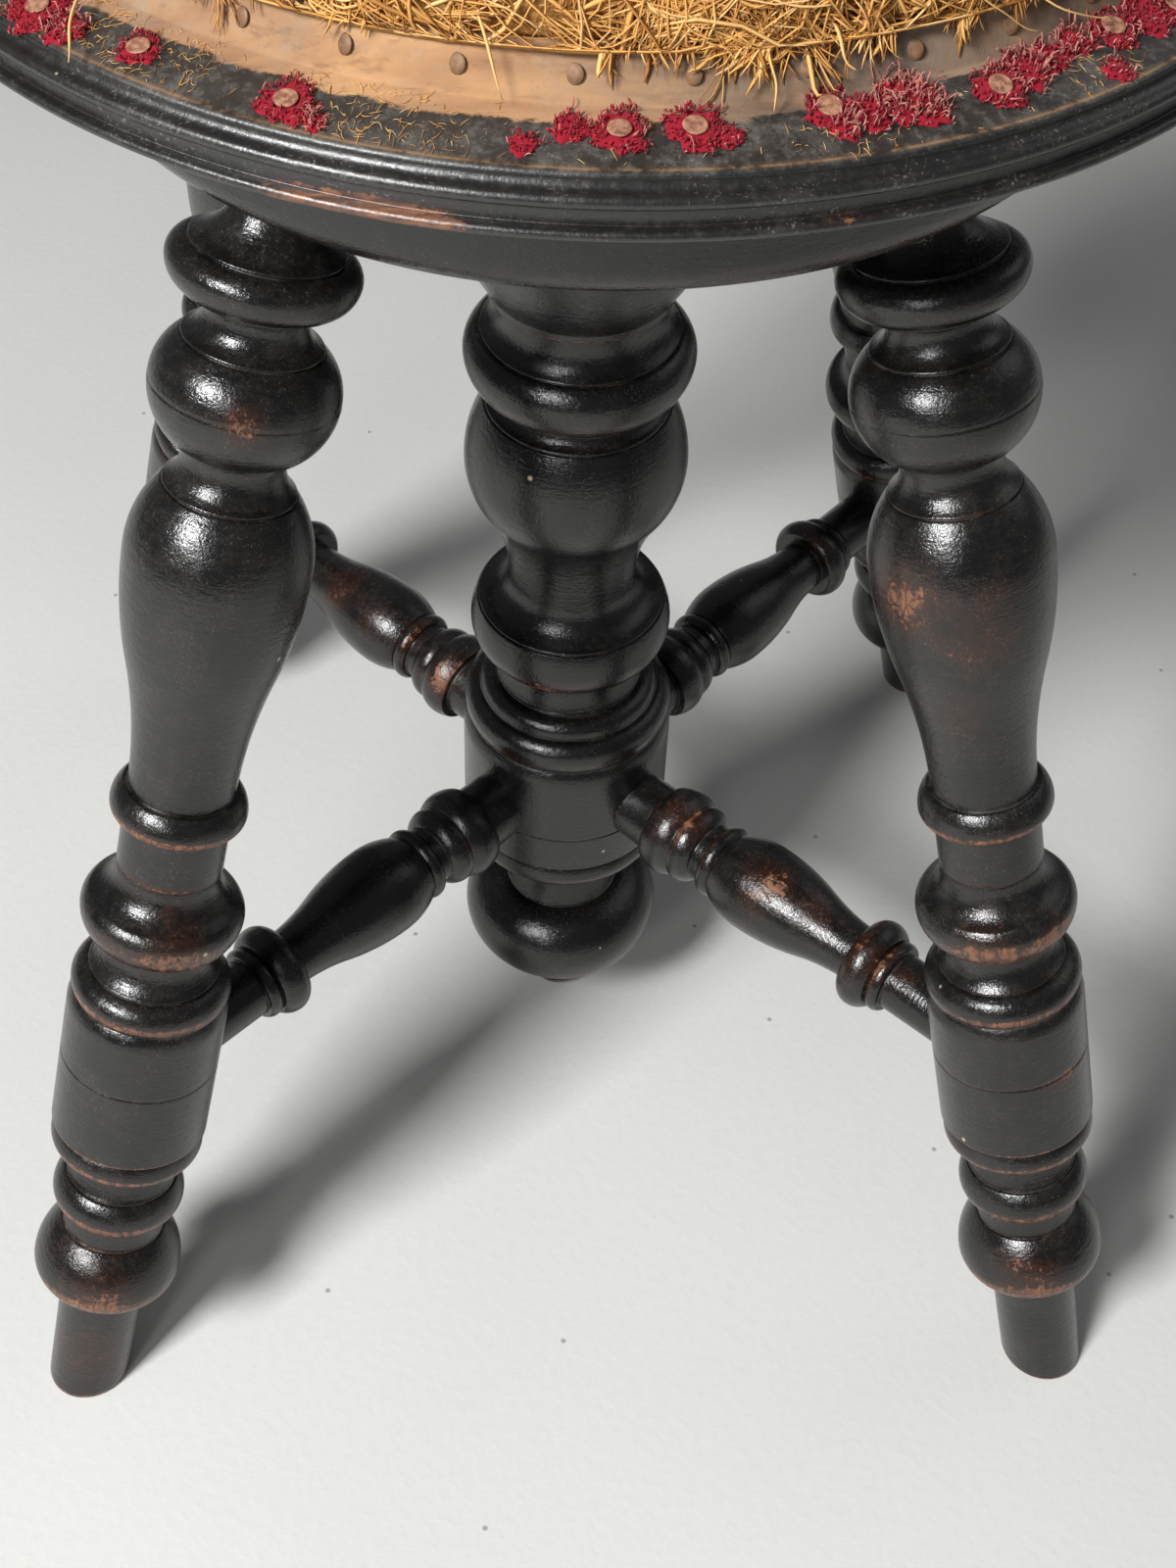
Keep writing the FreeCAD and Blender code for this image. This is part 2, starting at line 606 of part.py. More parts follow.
def make_stretcher(name, azimuth):
    body = new_body(name)
    stretcher_turning().solid(body, name + "_turning")
    angle = math.degrees(math.atan2(across.value, upward.value))
    lay = FreeCAD.Rotation(FreeCAD.Vector(0, 1, 0), angle)
    out = FreeCAD.Placement(FreeCAD.Vector(0, 0, column_side_z.value), lay)
    spin = FreeCAD.Placement(FreeCAD.Vector(), FreeCAD.Rotation(FreeCAD.Vector(0, 0, 1), azimuth))
    body.Placement = spin.multiply(out)
    return body


def make_column():
    body = new_body("centre_column")
    COLUMN.solid(body, "column_turning")
    top = COLUMN.top
    shoulder = COLUMN.marks["shoulder"]
    drill(body, "screw_bore", (size(0), top + S.nut_plate_thickness), (size(0), shoulder - S.column_bore_depth),
          S.column_bore_radius)
    drill(body, "spigot_hole", (size(0), -S.moving_gap), (size(0), S.drop_spigot_length + S.moving_gap),
          S.drop_spigot_radius + S.wood_gap)
    middle = COLUMN.marks["block_bottom"] + S.column_block_length / 2
    far = S.column_block_radius * OUTSIDE
    near = S.column_block_radius - S.socket_depth - S.moving_gap
    drill(body, "stretcher_socket", (across * far, middle + upward * far),
          (across * near, middle + upward * near), S.barrel_radius + S.wood_gap, len(LEGS))
    place(body, column_height, min(LEGS.values()))
    return body


def make_finial():
    body = new_body("drop_finial")
    FINIAL.solid(body, "finial_turning")
    place(body, finial_height)
    return body


def make_platform():
    body = new_body("top_platform")
    low, high = S.platform_low_round, S.platform_high_round
    hole = S.column_tenon_radius + S.wood_gap
    recess = S.nut_plate_radius + S.wood_gap
    thick = S.platform_thickness
    profile = Turning(hole, 0)
    profile.line(S.platform_radius - low, 0)
    profile.swell_to_crest(S.platform_radius, low)
    profile.up(thick - low - high)
    profile.fall_from_crest(S.platform_radius - high, high)
    profile.step(recess).up(-S.nut_plate_thickness).step(hole)
    profile.solid(body, "platform_turning")
    reach = leg_reach + S.leg_tenon_length + S.moving_gap
    outside = leg_reach - S.leg_neck_length
    mouth = (S.foot_circle_radius - lean_in * outside, lean_up * outside - platform_bottom)
    floor = (S.foot_circle_radius - lean_in * reach, lean_up * reach - platform_bottom)
    drill(body, "leg_socket", mouth, floor, S.leg_neck_radius + S.wood_gap, len(LEGS))
    screws = wood_screw(S.nut_fixing_circle, thick, S.wood_gap)
    hole = spun(body, "nut_screw_hole", screws, (screws[0], screws[-1]), "PartDesign::Groove")
    ring_of(body, hole, FIXING_COUNT)
    place(body, platform_bottom, min(LEGS.values()))
    return body


def make_plate(name, radius, thickness, hole, circle, base, turn, downward):
    # A round iron plate with a centre hole and countersunk screw holes.
    body = new_body(name)
    profile = Turning(hole, 0)
    profile.step(radius).up(thickness).step(hole)
    profile.solid(body, name + "_disc")
    face = thickness if downward else size(0)
    screws = wood_screw(circle, face, S.wood_gap, downward)
    cut = spun(body, name + "_hole", screws, (screws[0], screws[-1]), "PartDesign::Groove")
    ring_of(body, cut, FIXING_COUNT)
    place(body, base, turn)
    return body


def make_screws(name, circle, base, turn, downward):
    body = new_body(name)
    screws = wood_screw(circle, size(0), size(0), downward)
    feature = spun(body, name + "_turning", screws, (screws[0], screws[-1]))
    ring_of(body, feature, FIXING_COUNT)
    place(body, base, turn)
    return body


def make_washer():
    body = new_body("thrust_washer")
    bore = S.screw_radius + S.moving_gap
    profile = Turning(bore, 0)
    profile.step(S.washer_radius).up(S.washer_thickness).step(bore)
    profile.solid(body, "washer_disc")
    place(body, platform_top + S.moving_gap)
    return body


def make_screw():
    # Plain rod as wide as the thread crests, with the spigot that is riveted into the flange.
    body = new_body("seat_screw")
    nose = S.screw_nose_length
    profile = Turning(0, -S.screw_length)
    profile.step(S.screw_radius - nose).line(S.screw_radius, nose - S.screw_length)
    profile.line(S.screw_radius, 0).step(S.screw_spigot_radius).up(S.flange_thickness).step(0)
    profile.solid(body, "screw_turning")
    place(body, flange_bottom)
    return body


rim_height = (S.seat_lip_height + S.seat_fascia_height + S.seat_ovolo_height + S.seat_hollow_height
              + S.seat_quirk_height)
board_height = rim_height + S.seat_band_rise + S.upstand_height
crest_radius = S.seat_radius - S.seat_ovolo_width
band_end = crest_radius - S.seat_band_width
upstand_top = band_end - S.upstand_draw


def make_seat_board():
    body = new_body("seat_board")
    pocket = S.screw_spigot_radius + S.spigot_room
    profile = Turning(0, S.fixing_length / 2)
    profile.step(pocket).line(pocket, 0)
    profile.line(S.seat_radius - S.seat_lip_height / 2, 0)
    profile.bead(S.seat_radius, S.seat_lip_height, S.seat_radius - S.seat_lip_height / 2)
    profile.step(S.seat_radius - S.seat_fascia_inset).up(S.seat_fascia_height)
    profile.bead(S.seat_radius - S.seat_ovolo_inset, S.seat_ovolo_height,
                 S.seat_radius - S.seat_ovolo_end_inset)
    profile.cove(crest_radius, S.seat_hollow_height, depth=0.2)
    profile.step(crest_radius + S.seat_crest_lip)
    profile.fall_from_crest(crest_radius - S.seat_quirk_height, S.seat_quirk_height)
    profile.line(band_end, profile.top + S.seat_band_rise)
    profile.line(upstand_top, profile.top + S.upstand_height)
    profile.step(0)
    profile.solid(body, "board_turning")
    screws = wood_screw(S.flange_fixing_circle, -S.flange_thickness, S.wood_gap, False)
    hole = spun(body, "flange_screw_hole", screws, (screws[0], screws[-1]), "PartDesign::Groove")
    ring_of(body, hole, FIXING_COUNT)
    place(body, seat_bottom)
    return body


def make_stuffing():
    # Hard stitched roll round the edge, a slight dip behind it and a low crown.
    body = new_body("seat_stuffing")
    edge = upstand_top
    side = S.stuffing_side_height
    roll = edge - S.stuffing_roll_width
    profile = Turning(0, 0)
    profile.line(edge, 0)
    profile.bow(edge - S.stuffing_edge_draw, side, S.stuffing_swell.value / side.value)
    profile.bow(roll, S.stuffing_roll_height, depth=0.28)
    profile.line(roll - S.stuffing_dip_width, profile.top - S.stuffing_roll_dip)
    profile.dome(S.stuffing_crown)
    profile.solid(body, "stuffing_form")
    place(body, seat_bottom + board_height + S.moving_gap)
    return body


def make_dots(name, radius, thickness, base):
    # Flat round pieces on the black band, at the places where the cover was nailed.
    disc = Part.makeCylinder(radius.value, thickness.value)
    middle = crest_radius - S.seat_band_width / 2
    slope = math.atan2(S.seat_band_rise.value, S.seat_band_width.value)
    disc.Placement = FreeCAD.Placement(
        FreeCAD.Vector(middle.value, 0, 0),
        FreeCAD.Rotation(FreeCAD.Vector(0, 1, 0), math.degrees(slope)))
    copies = []
    for azimuth in SCRAP_AZIMUTHS:
        copy = disc.copy()
        copy.rotate(FreeCAD.Vector(), FreeCAD.Vector(0, 0, 1), azimuth)
        copies.append(copy)
    feature = doc.addObject("Part::Feature", name)
    feature.Label = name
    feature.Shape = Part.makeCompound(copies)
    feature.Placement = FreeCAD.Placement(FreeCAD.Vector(0, 0, base.value), FreeCAD.Rotation())
    return feature


def make_tacks():
    # Domed heads on the bare wood band, one row, seated on its leaning face.
    body = new_body("upholstery_tacks")
    draw, tall = S.upstand_draw, S.upstand_height
    slant = root(draw * draw + tall * tall)
    out_x, out_z = tall / slant, draw / slant
    up_x, up_z = -(draw / slant), tall / slant
    seat_x = band_end - draw / 2 + out_x * S.stud_gap
    seat_z = board_height - tall / 2 + out_z * S.stud_gap
    crown_x, crown_z = seat_x + out_x * S.stud_height, seat_z + out_z * S.stud_height
    rim_x, rim_z = seat_x + up_x * S.stud_radius, seat_z + up_z * S.stud_radius
    corners = [(seat_x, seat_z), (crown_x, crown_z)]
    corners.append((crown_x + up_x * S.stud_crown_radius, crown_z + up_z * S.stud_crown_radius))
    corners.append((rim_x, rim_z))
    head = spun(body, "tack_head", corners, (corners[0], corners[1]))
    ring_of(body, head, STUD_COUNT)
    place(body, seat_bottom)
    return body


parts = []
turn = min(LEGS.values())
for corner, azimuth in LEGS.items():
    parts.append(make_leg("leg_" + corner, azimuth))
    parts.append(make_stretcher("stretcher_" + corner, azimuth))
parts += [make_column(), make_finial(), make_platform(), make_washer(), make_screw()]
parts.append(make_plate("nut_plate", S.nut_plate_radius, S.nut_plate_thickness,
                        S.screw_radius + S.screw_fit, S.nut_fixing_circle,
                        platform_top - S.nut_plate_thickness, turn, True))
parts.append(make_screws("nut_plate_screws", S.nut_fixing_circle, platform_top, turn, True))
parts.append(make_plate("seat_flange", S.flange_radius, S.flange_thickness,
                        S.screw_spigot_radius + S.screw_fit, S.flange_fixing_circle,
                        flange_bottom, 0, False))
parts.append(make_screws("flange_screws", S.flange_fixing_circle, flange_bottom, 0, False))
parts += [make_seat_board(), make_stuffing(), make_tacks()]
band_middle = board_height - S.upstand_height - S.seat_band_rise / 2
scrap_base = seat_bottom + band_middle + S.wood_gap
parts.append(make_dots("velvet_scraps", S.scrap_radius, S.scrap_thickness, scrap_base))
parts.append(make_dots("scrap_nails", S.stud_radius, S.stud_height,
                       scrap_base + S.scrap_thickness + S.wood_gap))

doc.recompute()
for item in doc.Objects:
    if "Invalid" in item.State or "Error" in item.State:
        raise RuntimeError("failed object: " + item.Name)
for piece in parts:
    if piece.Shape.isNull() or not piece.Shape.isValid():
        raise RuntimeError("bad shape: " + piece.Label)
for piece in parts:
    piece.Shape.exportStep("parts/%s.step" % piece.Label)
    print(piece.Label, len(piece.Shape.Solids), round(piece.Shape.Volume))
for name, height in (("platform", platform_bottom), ("column", column_height), ("finial", finial_height),
                     ("seat", seat_bottom), ("stretcher", column_side_z), ("stretcher rise", rise)):
    print(name, round(height.value, 2))
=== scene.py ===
import math

import bpy
import numpy as np
from mathutils import Matrix, Vector


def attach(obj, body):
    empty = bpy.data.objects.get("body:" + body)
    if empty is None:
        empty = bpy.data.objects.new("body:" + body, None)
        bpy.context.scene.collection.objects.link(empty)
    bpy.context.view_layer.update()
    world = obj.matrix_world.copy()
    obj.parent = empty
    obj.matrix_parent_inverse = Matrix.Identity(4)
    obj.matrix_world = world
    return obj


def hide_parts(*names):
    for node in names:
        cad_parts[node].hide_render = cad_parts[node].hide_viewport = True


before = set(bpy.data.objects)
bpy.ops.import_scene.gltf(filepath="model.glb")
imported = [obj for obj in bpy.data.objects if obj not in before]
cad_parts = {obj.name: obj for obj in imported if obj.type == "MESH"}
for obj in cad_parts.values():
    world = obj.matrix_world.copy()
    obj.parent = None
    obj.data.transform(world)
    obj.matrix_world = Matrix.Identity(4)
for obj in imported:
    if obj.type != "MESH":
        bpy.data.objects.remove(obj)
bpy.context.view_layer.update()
mm = 0.001
rng = np.random.default_rng(41)


def ease(value, low, high):
    share = np.clip((value - low) / (high - low), 0, 1)
    return share * share * (3 - 2 * share)


def smoothed(values, spacing, reach):
    # Gaussian average along a line of samples, with both ends held
    half = int(math.ceil(3 * reach / spacing))
    bell = np.exp(-0.5 * (np.arange(-half, half + 1) * spacing / reach) ** 2)
    padded = np.pad(values, half, mode="reflect", reflect_type="odd")
    return np.convolve(padded, bell / bell.sum(), "valid")


def arcPoints(start, stop, radius, outward):
    # points of the arc between two (radius, along) places, swelling away from the turning axis or hollow
    chord = stop - start
    length = np.hypot(*chord)
    normal = np.array([chord[1], -chord[0]]) / length
    offset = math.sqrt(max(radius * radius - length * length / 4, 0))
    centre = (start + stop) / 2 + normal * (-offset if outward else offset)
    first = math.atan2(*(start - centre)[::-1])
    sweep = (math.atan2(*(stop - centre)[::-1]) - first + math.pi) % (2 * math.pi) - math.pi
    angles = first + sweep * np.linspace(0, 1, max(6, int(length / 0.3)))[1:]
    return centre + radius * np.stack([np.cos(angles), np.sin(angles)], 1)


def turnedLine(start, moves):
    # follows the turner's moves from start (radius, along) and returns the points of the half outline
    line = [np.array([start], float)]

    def here():
        return line[-1][-1]

    def bend(radius, length, kind, share=0.0):
        stop = np.array([radius, here()[1] + length])
        dr, dh = stop - here()
        if kind == "bow":
            chord = math.hypot(dr, dh)
            line.append(arcPoints(here(), stop, chord * (0.25 + share * share) / (2 * abs(share)), share > 0))
        else:
            line.append(arcPoints(here(), stop, (dr * dr + dh * dh) / (2 * abs(dr)), kind == "round"))

    for move in moves:
        kind, radius, length = (move + (0.0, 0.0))[:3]
        share = move[3] if len(move) > 3 else 0.5
        if kind == "step":
            line.append(np.array([[radius, here()[1]]]))
        elif kind == "line":
            line.append(np.array([[radius, here()[1] + length]]))
        elif kind == "round":
            bend(radius, length, "round")
        elif kind == "bead":
            bend(radius, length * share, "round")
            bend(move[4], length * (1 - share), "round")
        elif kind == "cove":
            bend(radius, length, "bow", -share)
        elif kind == "bow":
            bend(radius, length, "bow", share)
        elif kind == "lip":
            # a groove and a fine ring where one form ends against the next
            line.append(np.array([[radius - 0.5, here()[1]], [radius - 0.5, here()[1] + 0.3]]))
            bend(radius, 0.4, "round")
            bend(radius - 0.35, 0.5, "round")
        elif kind == "hollow":
            bend(radius, length, "hollow")
        elif kind == "neck":
            bend(radius, length * share, "hollow")
            bend(move[4], length * (1 - share), "hollow")
        elif kind == "ogee":
            dr = radius - here()[0]
            bend(here()[0] + dr * share, length * share, "hollow" if dr > 0 else "round")
            bend(radius, length * (1 - share), "round" if dr > 0 else "hollow")
    return np.concatenate(line)


def eased(line, edge=0.15, pace=1.9, turn=0.20):
    # rounds the sharp corners, measures edges and the beads' undersides, and spaces the rings
    spacing = 0.08
    steps = np.hypot(*np.diff(line, axis=0).T)
    keep = np.concatenate([[True], steps > 1e-6])
    line = line[keep]
    travel = np.concatenate([[0], np.cumsum(np.hypot(*np.diff(line, axis=0).T))])
    even = np.arange(0, travel[-1], spacing)
    radius, along = (np.interp(even, travel, line[:, k]) for k in (0, 1))
    radius, along = smoothed(radius, spacing, edge), smoothed(along, spacing, edge)
    radius[[0, -1]], along[[0, -1]] = line[[0, -1], 0], line[[0, -1], 1]
    slope = np.unwrap(np.arctan2(np.diff(radius), np.diff(along)))
    bent = -np.gradient(smoothed(slope, spacing, 0.35), spacing)
    bent = np.append(bent, bent[-1])
    downward = np.sin(np.append(slope, slope[-1]))
    under = smoothed(np.clip(bent * 6, 0, 1) * np.clip(downward * 2.5 + 0.55, 0, 1), spacing, 0.5)
    pacing = np.cumsum(spacing / pace + np.abs(bent) * spacing / turn)
    picks = np.searchsorted(pacing, np.linspace(pacing[0], pacing[-1], int(pacing[-1]) + 2))
    picks = np.unique(np.clip(np.append(picks, [0, len(radius) - 1]), 0, len(radius) - 1))
    return {"radius": np.maximum(radius[picks], 0), "along": along[picks],
            "edge": np.clip(bent[picks] * 0.9, -1, 1), "under": np.clip(under[picks] * 1.15, 0, 1)}


def meshPiece(name, points, faceSets, body, finish, floats=None, vectors=None):
    # one mesh in metres from points in millimetres, its object at the origin, riding on its body
    mesh = bpy.data.meshes.new(name)
    mesh.vertices.add(len(points))
    mesh.vertices.foreach_set("co", (points * mm).astype(np.float32).ravel())
    corners = np.concatenate([faces.ravel() for faces in faceSets])
    counts = np.concatenate([np.full(len(faces), faces.shape[1]) for faces in faceSets])
    mesh.loops.add(len(corners))
    mesh.loops.foreach_set("vertex_index", corners.astype(np.int32))
    mesh.polygons.add(len(counts))
    mesh.polygons.foreach_set("loop_start", np.concatenate([[0], np.cumsum(counts)[:-1]]).astype(np.int32))
    mesh.polygons.foreach_set("use_smooth", np.ones(len(counts), bool))
    for held, kind, field in ((floats, "FLOAT", "value"), (vectors, "FLOAT_VECTOR", "vector")):
        for key, values in (held or {}).items():
            target = mesh.attributes.new(key, kind, "POINT").data
            target.foreach_set(field, values.astype(np.float32).ravel())
    mesh.update(calc_edges=True)
    mesh.validate()
    piece = bpy.data.objects.new(name, mesh)
    bpy.context.collection.objects.link(piece)
    mesh.materials.append(finish)
    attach(piece, body)
    return piece


def lathe(outline, segments, closed=False):
    # rings round the local z axis; an end on the axis becomes one pole point
    radius, along = outline["radius"], outline["along"]
    lowPole, highPole = (not closed and radius[end] < 1e-6 for end in (0, -1))
    rings = slice(1 if lowPole else 0, len(radius) - 1 if highPole else None)
    ringRadius, ringAlong = radius[rings], along[rings]
    count = len(ringRadius)
    angle = np.linspace(0, 2 * math.pi, segments, endpoint=False)
    points = np.stack([np.outer(ringRadius, np.cos(angle)), np.outer(ringRadius, np.sin(angle)),
                       np.repeat(ringAlong[:, None], segments, 1)], 2).reshape(-1, 3)
    number = np.arange(count * segments).reshape(count, segments)
    beside = np.roll(number, -1, 1)
    if closed:
        above, besideAbove = np.roll(number, -1, 0), np.roll(beside, -1, 0)
    else:
        number, above = number[:-1], number[1:]
        beside, besideAbove = beside[:-1], beside[1:]
    faces = [np.stack([number, beside, besideAbove, above], 2).reshape(-1, 4)]
    values = {key: np.repeat(outline[key][rings], segments) for key in ("edge", "under")}
    turn = np.tile(angle, count)
    last = (count - 1) * segments + np.arange(segments)
    for present, end, ring in ((lowPole, 0, np.arange(segments)[::-1]), (highPole, -1, last)):
        if present:
            pole = np.full(segments, len(points))
            points = np.concatenate([points, [[0, 0, along[end]]]])
            values = {key: np.append(held, outline[key][end]) for key, held in values.items()}
            turn = np.append(turn, 0)
            faces.append(np.stack([ring, np.roll(ring, -1), pole], 1))
    return points, faces, values, turn


def spotMask(points, spots):
    # strongest of several soft round spots, each (x, y, z, reach, strength) in millimetres
    mask = np.zeros(len(points))
    for x, y, z, reach, strength in spots:
        away = np.linalg.norm(points - np.array([x, y, z]), axis=1)
        mask = np.maximum(mask, strength * np.exp(-0.5 * (away / reach) ** 2))
    return mask


def placed(points, tilt=0.0, outward=0.0, turn=0.0, height=0.0):
    # leans about y, moves outward and up, then turns about the stool's axis; angles in degrees
    matrix = (Matrix.Rotation(math.radians(turn), 4, "Z") @ Matrix.Translation(Vector((outward, 0, height)))
              @ Matrix.Rotation(math.radians(tilt), 4, "Y"))
    whole = np.array(matrix)
    return points @ whole[:3, :3].T + whole[:3, 3]


class Finish:
    # a material and short words for its nodes
    def __init__(self, name):
        self.material = bpy.data.materials.new(name)
        self.material.use_nodes = True
        self.tree = self.material.node_tree
        self.tree.nodes.clear()
        self.shader = self.add("ShaderNodeBsdfPrincipled")
        self.join(self.shader.outputs[0], self.add("ShaderNodeOutputMaterial").inputs[0])

    def add(self, kind, **settings):
        made = self.tree.nodes.new(kind)
        for key, value in settings.items():
            setattr(made, key, value)
        return made

    def join(self, source, target):
        if isinstance(source, bpy.types.NodeSocket):
            self.tree.links.new(source, target)
        else:
            target.default_value = source

    def maths(self, operation, *values, clamp=False):
        made = self.add("ShaderNodeMath", operation=operation, use_clamp=clamp)
        for value, socket in zip(values, made.inputs):
            self.join(value, socket)
        return made.outputs[0]

    def times(self, first, second):
        return self.maths("MULTIPLY", first, second)

    def weigh(self, *pairs):
        # sum of value times weight
        total = 0.0
        for value, weight in pairs:
            total = self.maths("MULTIPLY_ADD", value, weight, total)
        return total

    def spread(self, value, low, high, toLow=0.0, toHigh=1.0):
        made = self.add("ShaderNodeMapRange", interpolation_type="SMOOTHSTEP")
        for source, socket in zip((value, low, high, toLow, toHigh), made.inputs):
            self.join(source, socket)
        return made.outputs[0]

    def noise(self, vector, scale, detail=3.0, roughness=0.55):
        made = self.add("ShaderNodeTexNoise")
        settings = {"Vector": vector, "Scale": scale, "Detail": detail, "Roughness": roughness}
        for key, source in settings.items():
            self.join(source, made.inputs[key])
        return made.outputs[0]

    def cells(self, vector, scale, feature):
        made = self.add("ShaderNodeTexVoronoi", feature=feature)
        self.join(vector, made.inputs["Vector"])
        self.join(scale, made.inputs["Scale"])
        return made

    def cracks(self, vector, scale):
        # thin wandering lines between cells
        edges = self.cells(vector, scale, "DISTANCE_TO_EDGE").outputs["Distance"]
        return self.spread(edges, 0.0, 0.07, 1.0, 0.0)

    def chips(self, vector, scale, rarity):
        # a few small spots, in the share of cells above the rarity
        made = self.cells(vector, scale, "F1")
        split = self.add("ShaderNodeSeparateColor")
        self.join(made.outputs["Color"], split.inputs[0])
        spot = self.spread(made.outputs["Distance"], 0.03, 0.075, 1.0, 0.0)
        return self.times(spot, self.maths("GREATER_THAN", split.outputs[0], rarity))

    def mix(self, factor, first, second):
        made = self.add("ShaderNodeMix", data_type="RGBA")
        for source, index in ((factor, 0), (first, 6), (second, 7)):
            self.join(source, made.inputs[index])
        return made.outputs[2]

    def read(self, name, output=2):
        return self.add("ShaderNodeAttribute", attribute_name=name).outputs[output]

    def stretch(self, vector, scale):
        made = self.add("ShaderNodeMapping")
        self.join(vector, made.inputs["Vector"])
        made.inputs["Scale"].default_value = scale
        return made.outputs[0]

    def place(self):
        return self.add("ShaderNodeTexCoord").outputs["Object"]

    def facingUp(self):
        normal = self.add("ShaderNodeNewGeometry").outputs["Normal"]
        made = self.add("ShaderNodeSeparateXYZ")
        self.join(normal, made.inputs[0])
        return made.outputs[2]

    def bump(self, height, depth, strength=1.0):
        made = self.add("ShaderNodeBump")
        made.inputs["Strength"].default_value = strength
        made.inputs["Distance"].default_value = depth
        self.join(height, made.inputs["Height"])
        self.join(made.outputs[0], self.shader.inputs["Normal"])

    def set(self, **values):
        for key, value in values.items():
            self.join(value, self.shader.inputs[key.replace("_", " ")])
        return self.material


black = (0.0060, 0.0056, 0.0054, 1)
stain = (0.030, 0.0105, 0.0058, 1)
bareWorn = (0.245, 0.100, 0.047, 1)
bareDark = (0.065, 0.024, 0.013, 1)
dustGrey = (0.30, 0.28, 0.25, 1)
paleWood = (0.62, 0.345, 0.150, 1)
agedWood = (0.29, 0.138, 0.062, 1)


def ebonised(name, bias=0.0, haze=0.45):
    # black stain under old polish; the attributes edge, under and worn say where hands and cloths thinned it
    look = Finish(name)
    place = look.place()
    grain = look.read("grain", 1)
    broad = look.noise(place, 16.0, 2.0)
    patchy = look.noise(place, 85.0, 4.0, 0.65)
    fine = look.noise(place, 620.0, 3.0, 0.6)
    speck = look.noise(place, 1700.0, 2.0)
    streak = look.noise(grain, 420.0, 5.0, 0.65)
    edge, under, worn = (look.read(key) for key in ("edge", "under", "worn"))
    rings = look.noise(look.stretch(grain, (0.14, 0.14, 9.0)), 900.0, 3.0)
    under = look.times(under, look.spread(look.noise(place, 11.0, 2.0), 0.40, 0.56, 0.72, 1.05))
    drive = look.weigh((under, 1.02), (look.maths("MAXIMUM", edge, 0.0), 0.20), (worn, 1.0), (patchy, 0.90),
                       (fine, 0.85), (broad, 0.50), (streak, 0.55), (speck, 0.30))
    drive = look.maths("ADD", drive, bias)
    thin = look.spread(drive, 1.82, 2.42)
    bare = look.spread(drive, 2.32, 2.56)
    cracks = look.cracks(look.stretch(grain, (1.0, 1.0, 2.4)), 230.0)
    wood = look.mix(look.spread(look.weigh((streak, 0.7), (fine, 0.5)), 0.42, 0.78), bareDark, bareWorn)
    wood = look.mix(look.times(cracks, 0.8), wood, stain)
    hazy = look.spread(look.weigh((patchy, 0.45), (streak, 0.30), (rings, 0.25)), 0.42, 0.62, 0.0, haze)
    colour = look.mix(hazy, black, (0.024, 0.021, 0.018, 1))
    colour = look.mix(bare, look.mix(thin, colour, stain), wood)
    groove = look.times(look.maths("MINIMUM", edge, 0.0), -0.12)
    settled = look.times(look.spread(look.facingUp(), 0.45, 1.0), look.spread(fine, 0.50, 0.78))
    dust = look.weigh((groove, look.spread(patchy, 0.42, 0.64)), (settled, 0.05))
    colour = look.mix(dust, colour, dustGrey)
    chips = look.chips(place, 75.0, 0.90)
    colour = look.mix(chips, colour, (0.62, 0.52, 0.38, 1))
    rough = look.weigh((patchy, 0.16), (fine, 0.12), (rings, 0.10), (hazy, 0.06), (thin, 0.03),
                       (bare, 0.12), (dust, 0.9))
    # painted glints: grey flecks stand in for light caught by fine pores in the polish
    strewn = look.spread(patchy, 0.42, 0.62, 0.05, 0.40)
    paintedGlints = look.times(look.spread(speck, 0.60, 0.69), strewn)
    colour = look.mix(paintedGlints, colour, (0.135, 0.120, 0.105, 1))
    relief = look.weigh((streak, 0.6), (fine, 1.1), (speck, 0.8), (patchy, 0.45), (rings, 0.9), (bare, -0.7),
                        (look.times(cracks, bare), -0.8))
    look.bump(relief, 0.00012, 1.0)
    return look.set(Base_Color=colour, Roughness=look.maths("ADD", rough, 0.02), Specular_IOR_Level=0.6)


def withGrain(points, local, stretchBy=9.0):
    # grain coordinates run along the turning and are squeezed lengthwise, in metres
    squeezed = np.stack([local[:, 0], local[:, 1], local[:, 2] / stretchBy], 1) * mm
    return {"grain": squeezed + points.mean(0) * 0.01}


def repeated(faceSets, size, count):
    # the same faces for each of count copies, whose points follow one another
    return [np.concatenate([part + size * index for index in range(count)]) for part in faceSets]


def turnedPiece(name, outline, segments, place, spots, finish, body="base", nodes=(),
                closed=False, shape=None):
    local, faces, floats, turn = lathe(outline, segments, closed)
    if shape is not None:
        local = shape(local, turn)
    points = placed(local, **place)
    floats["worn"] = spotMask(points, spots)
    piece = meshPiece(name, points, faces, body, finish, floats, withGrain(points, local))
    if nodes:
        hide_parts(*nodes)
    return piece


print("finishes")
legFinish = ebonised("ebonisedLegs", 0.0)
columnFinish = ebonised("ebonisedColumn", -0.18, 0.12)
stretcherFinish = ebonised("ebonisedStretchers", -0.12, 0.2)
platformFinish = ebonised("ebonisedPlatform", -0.22)

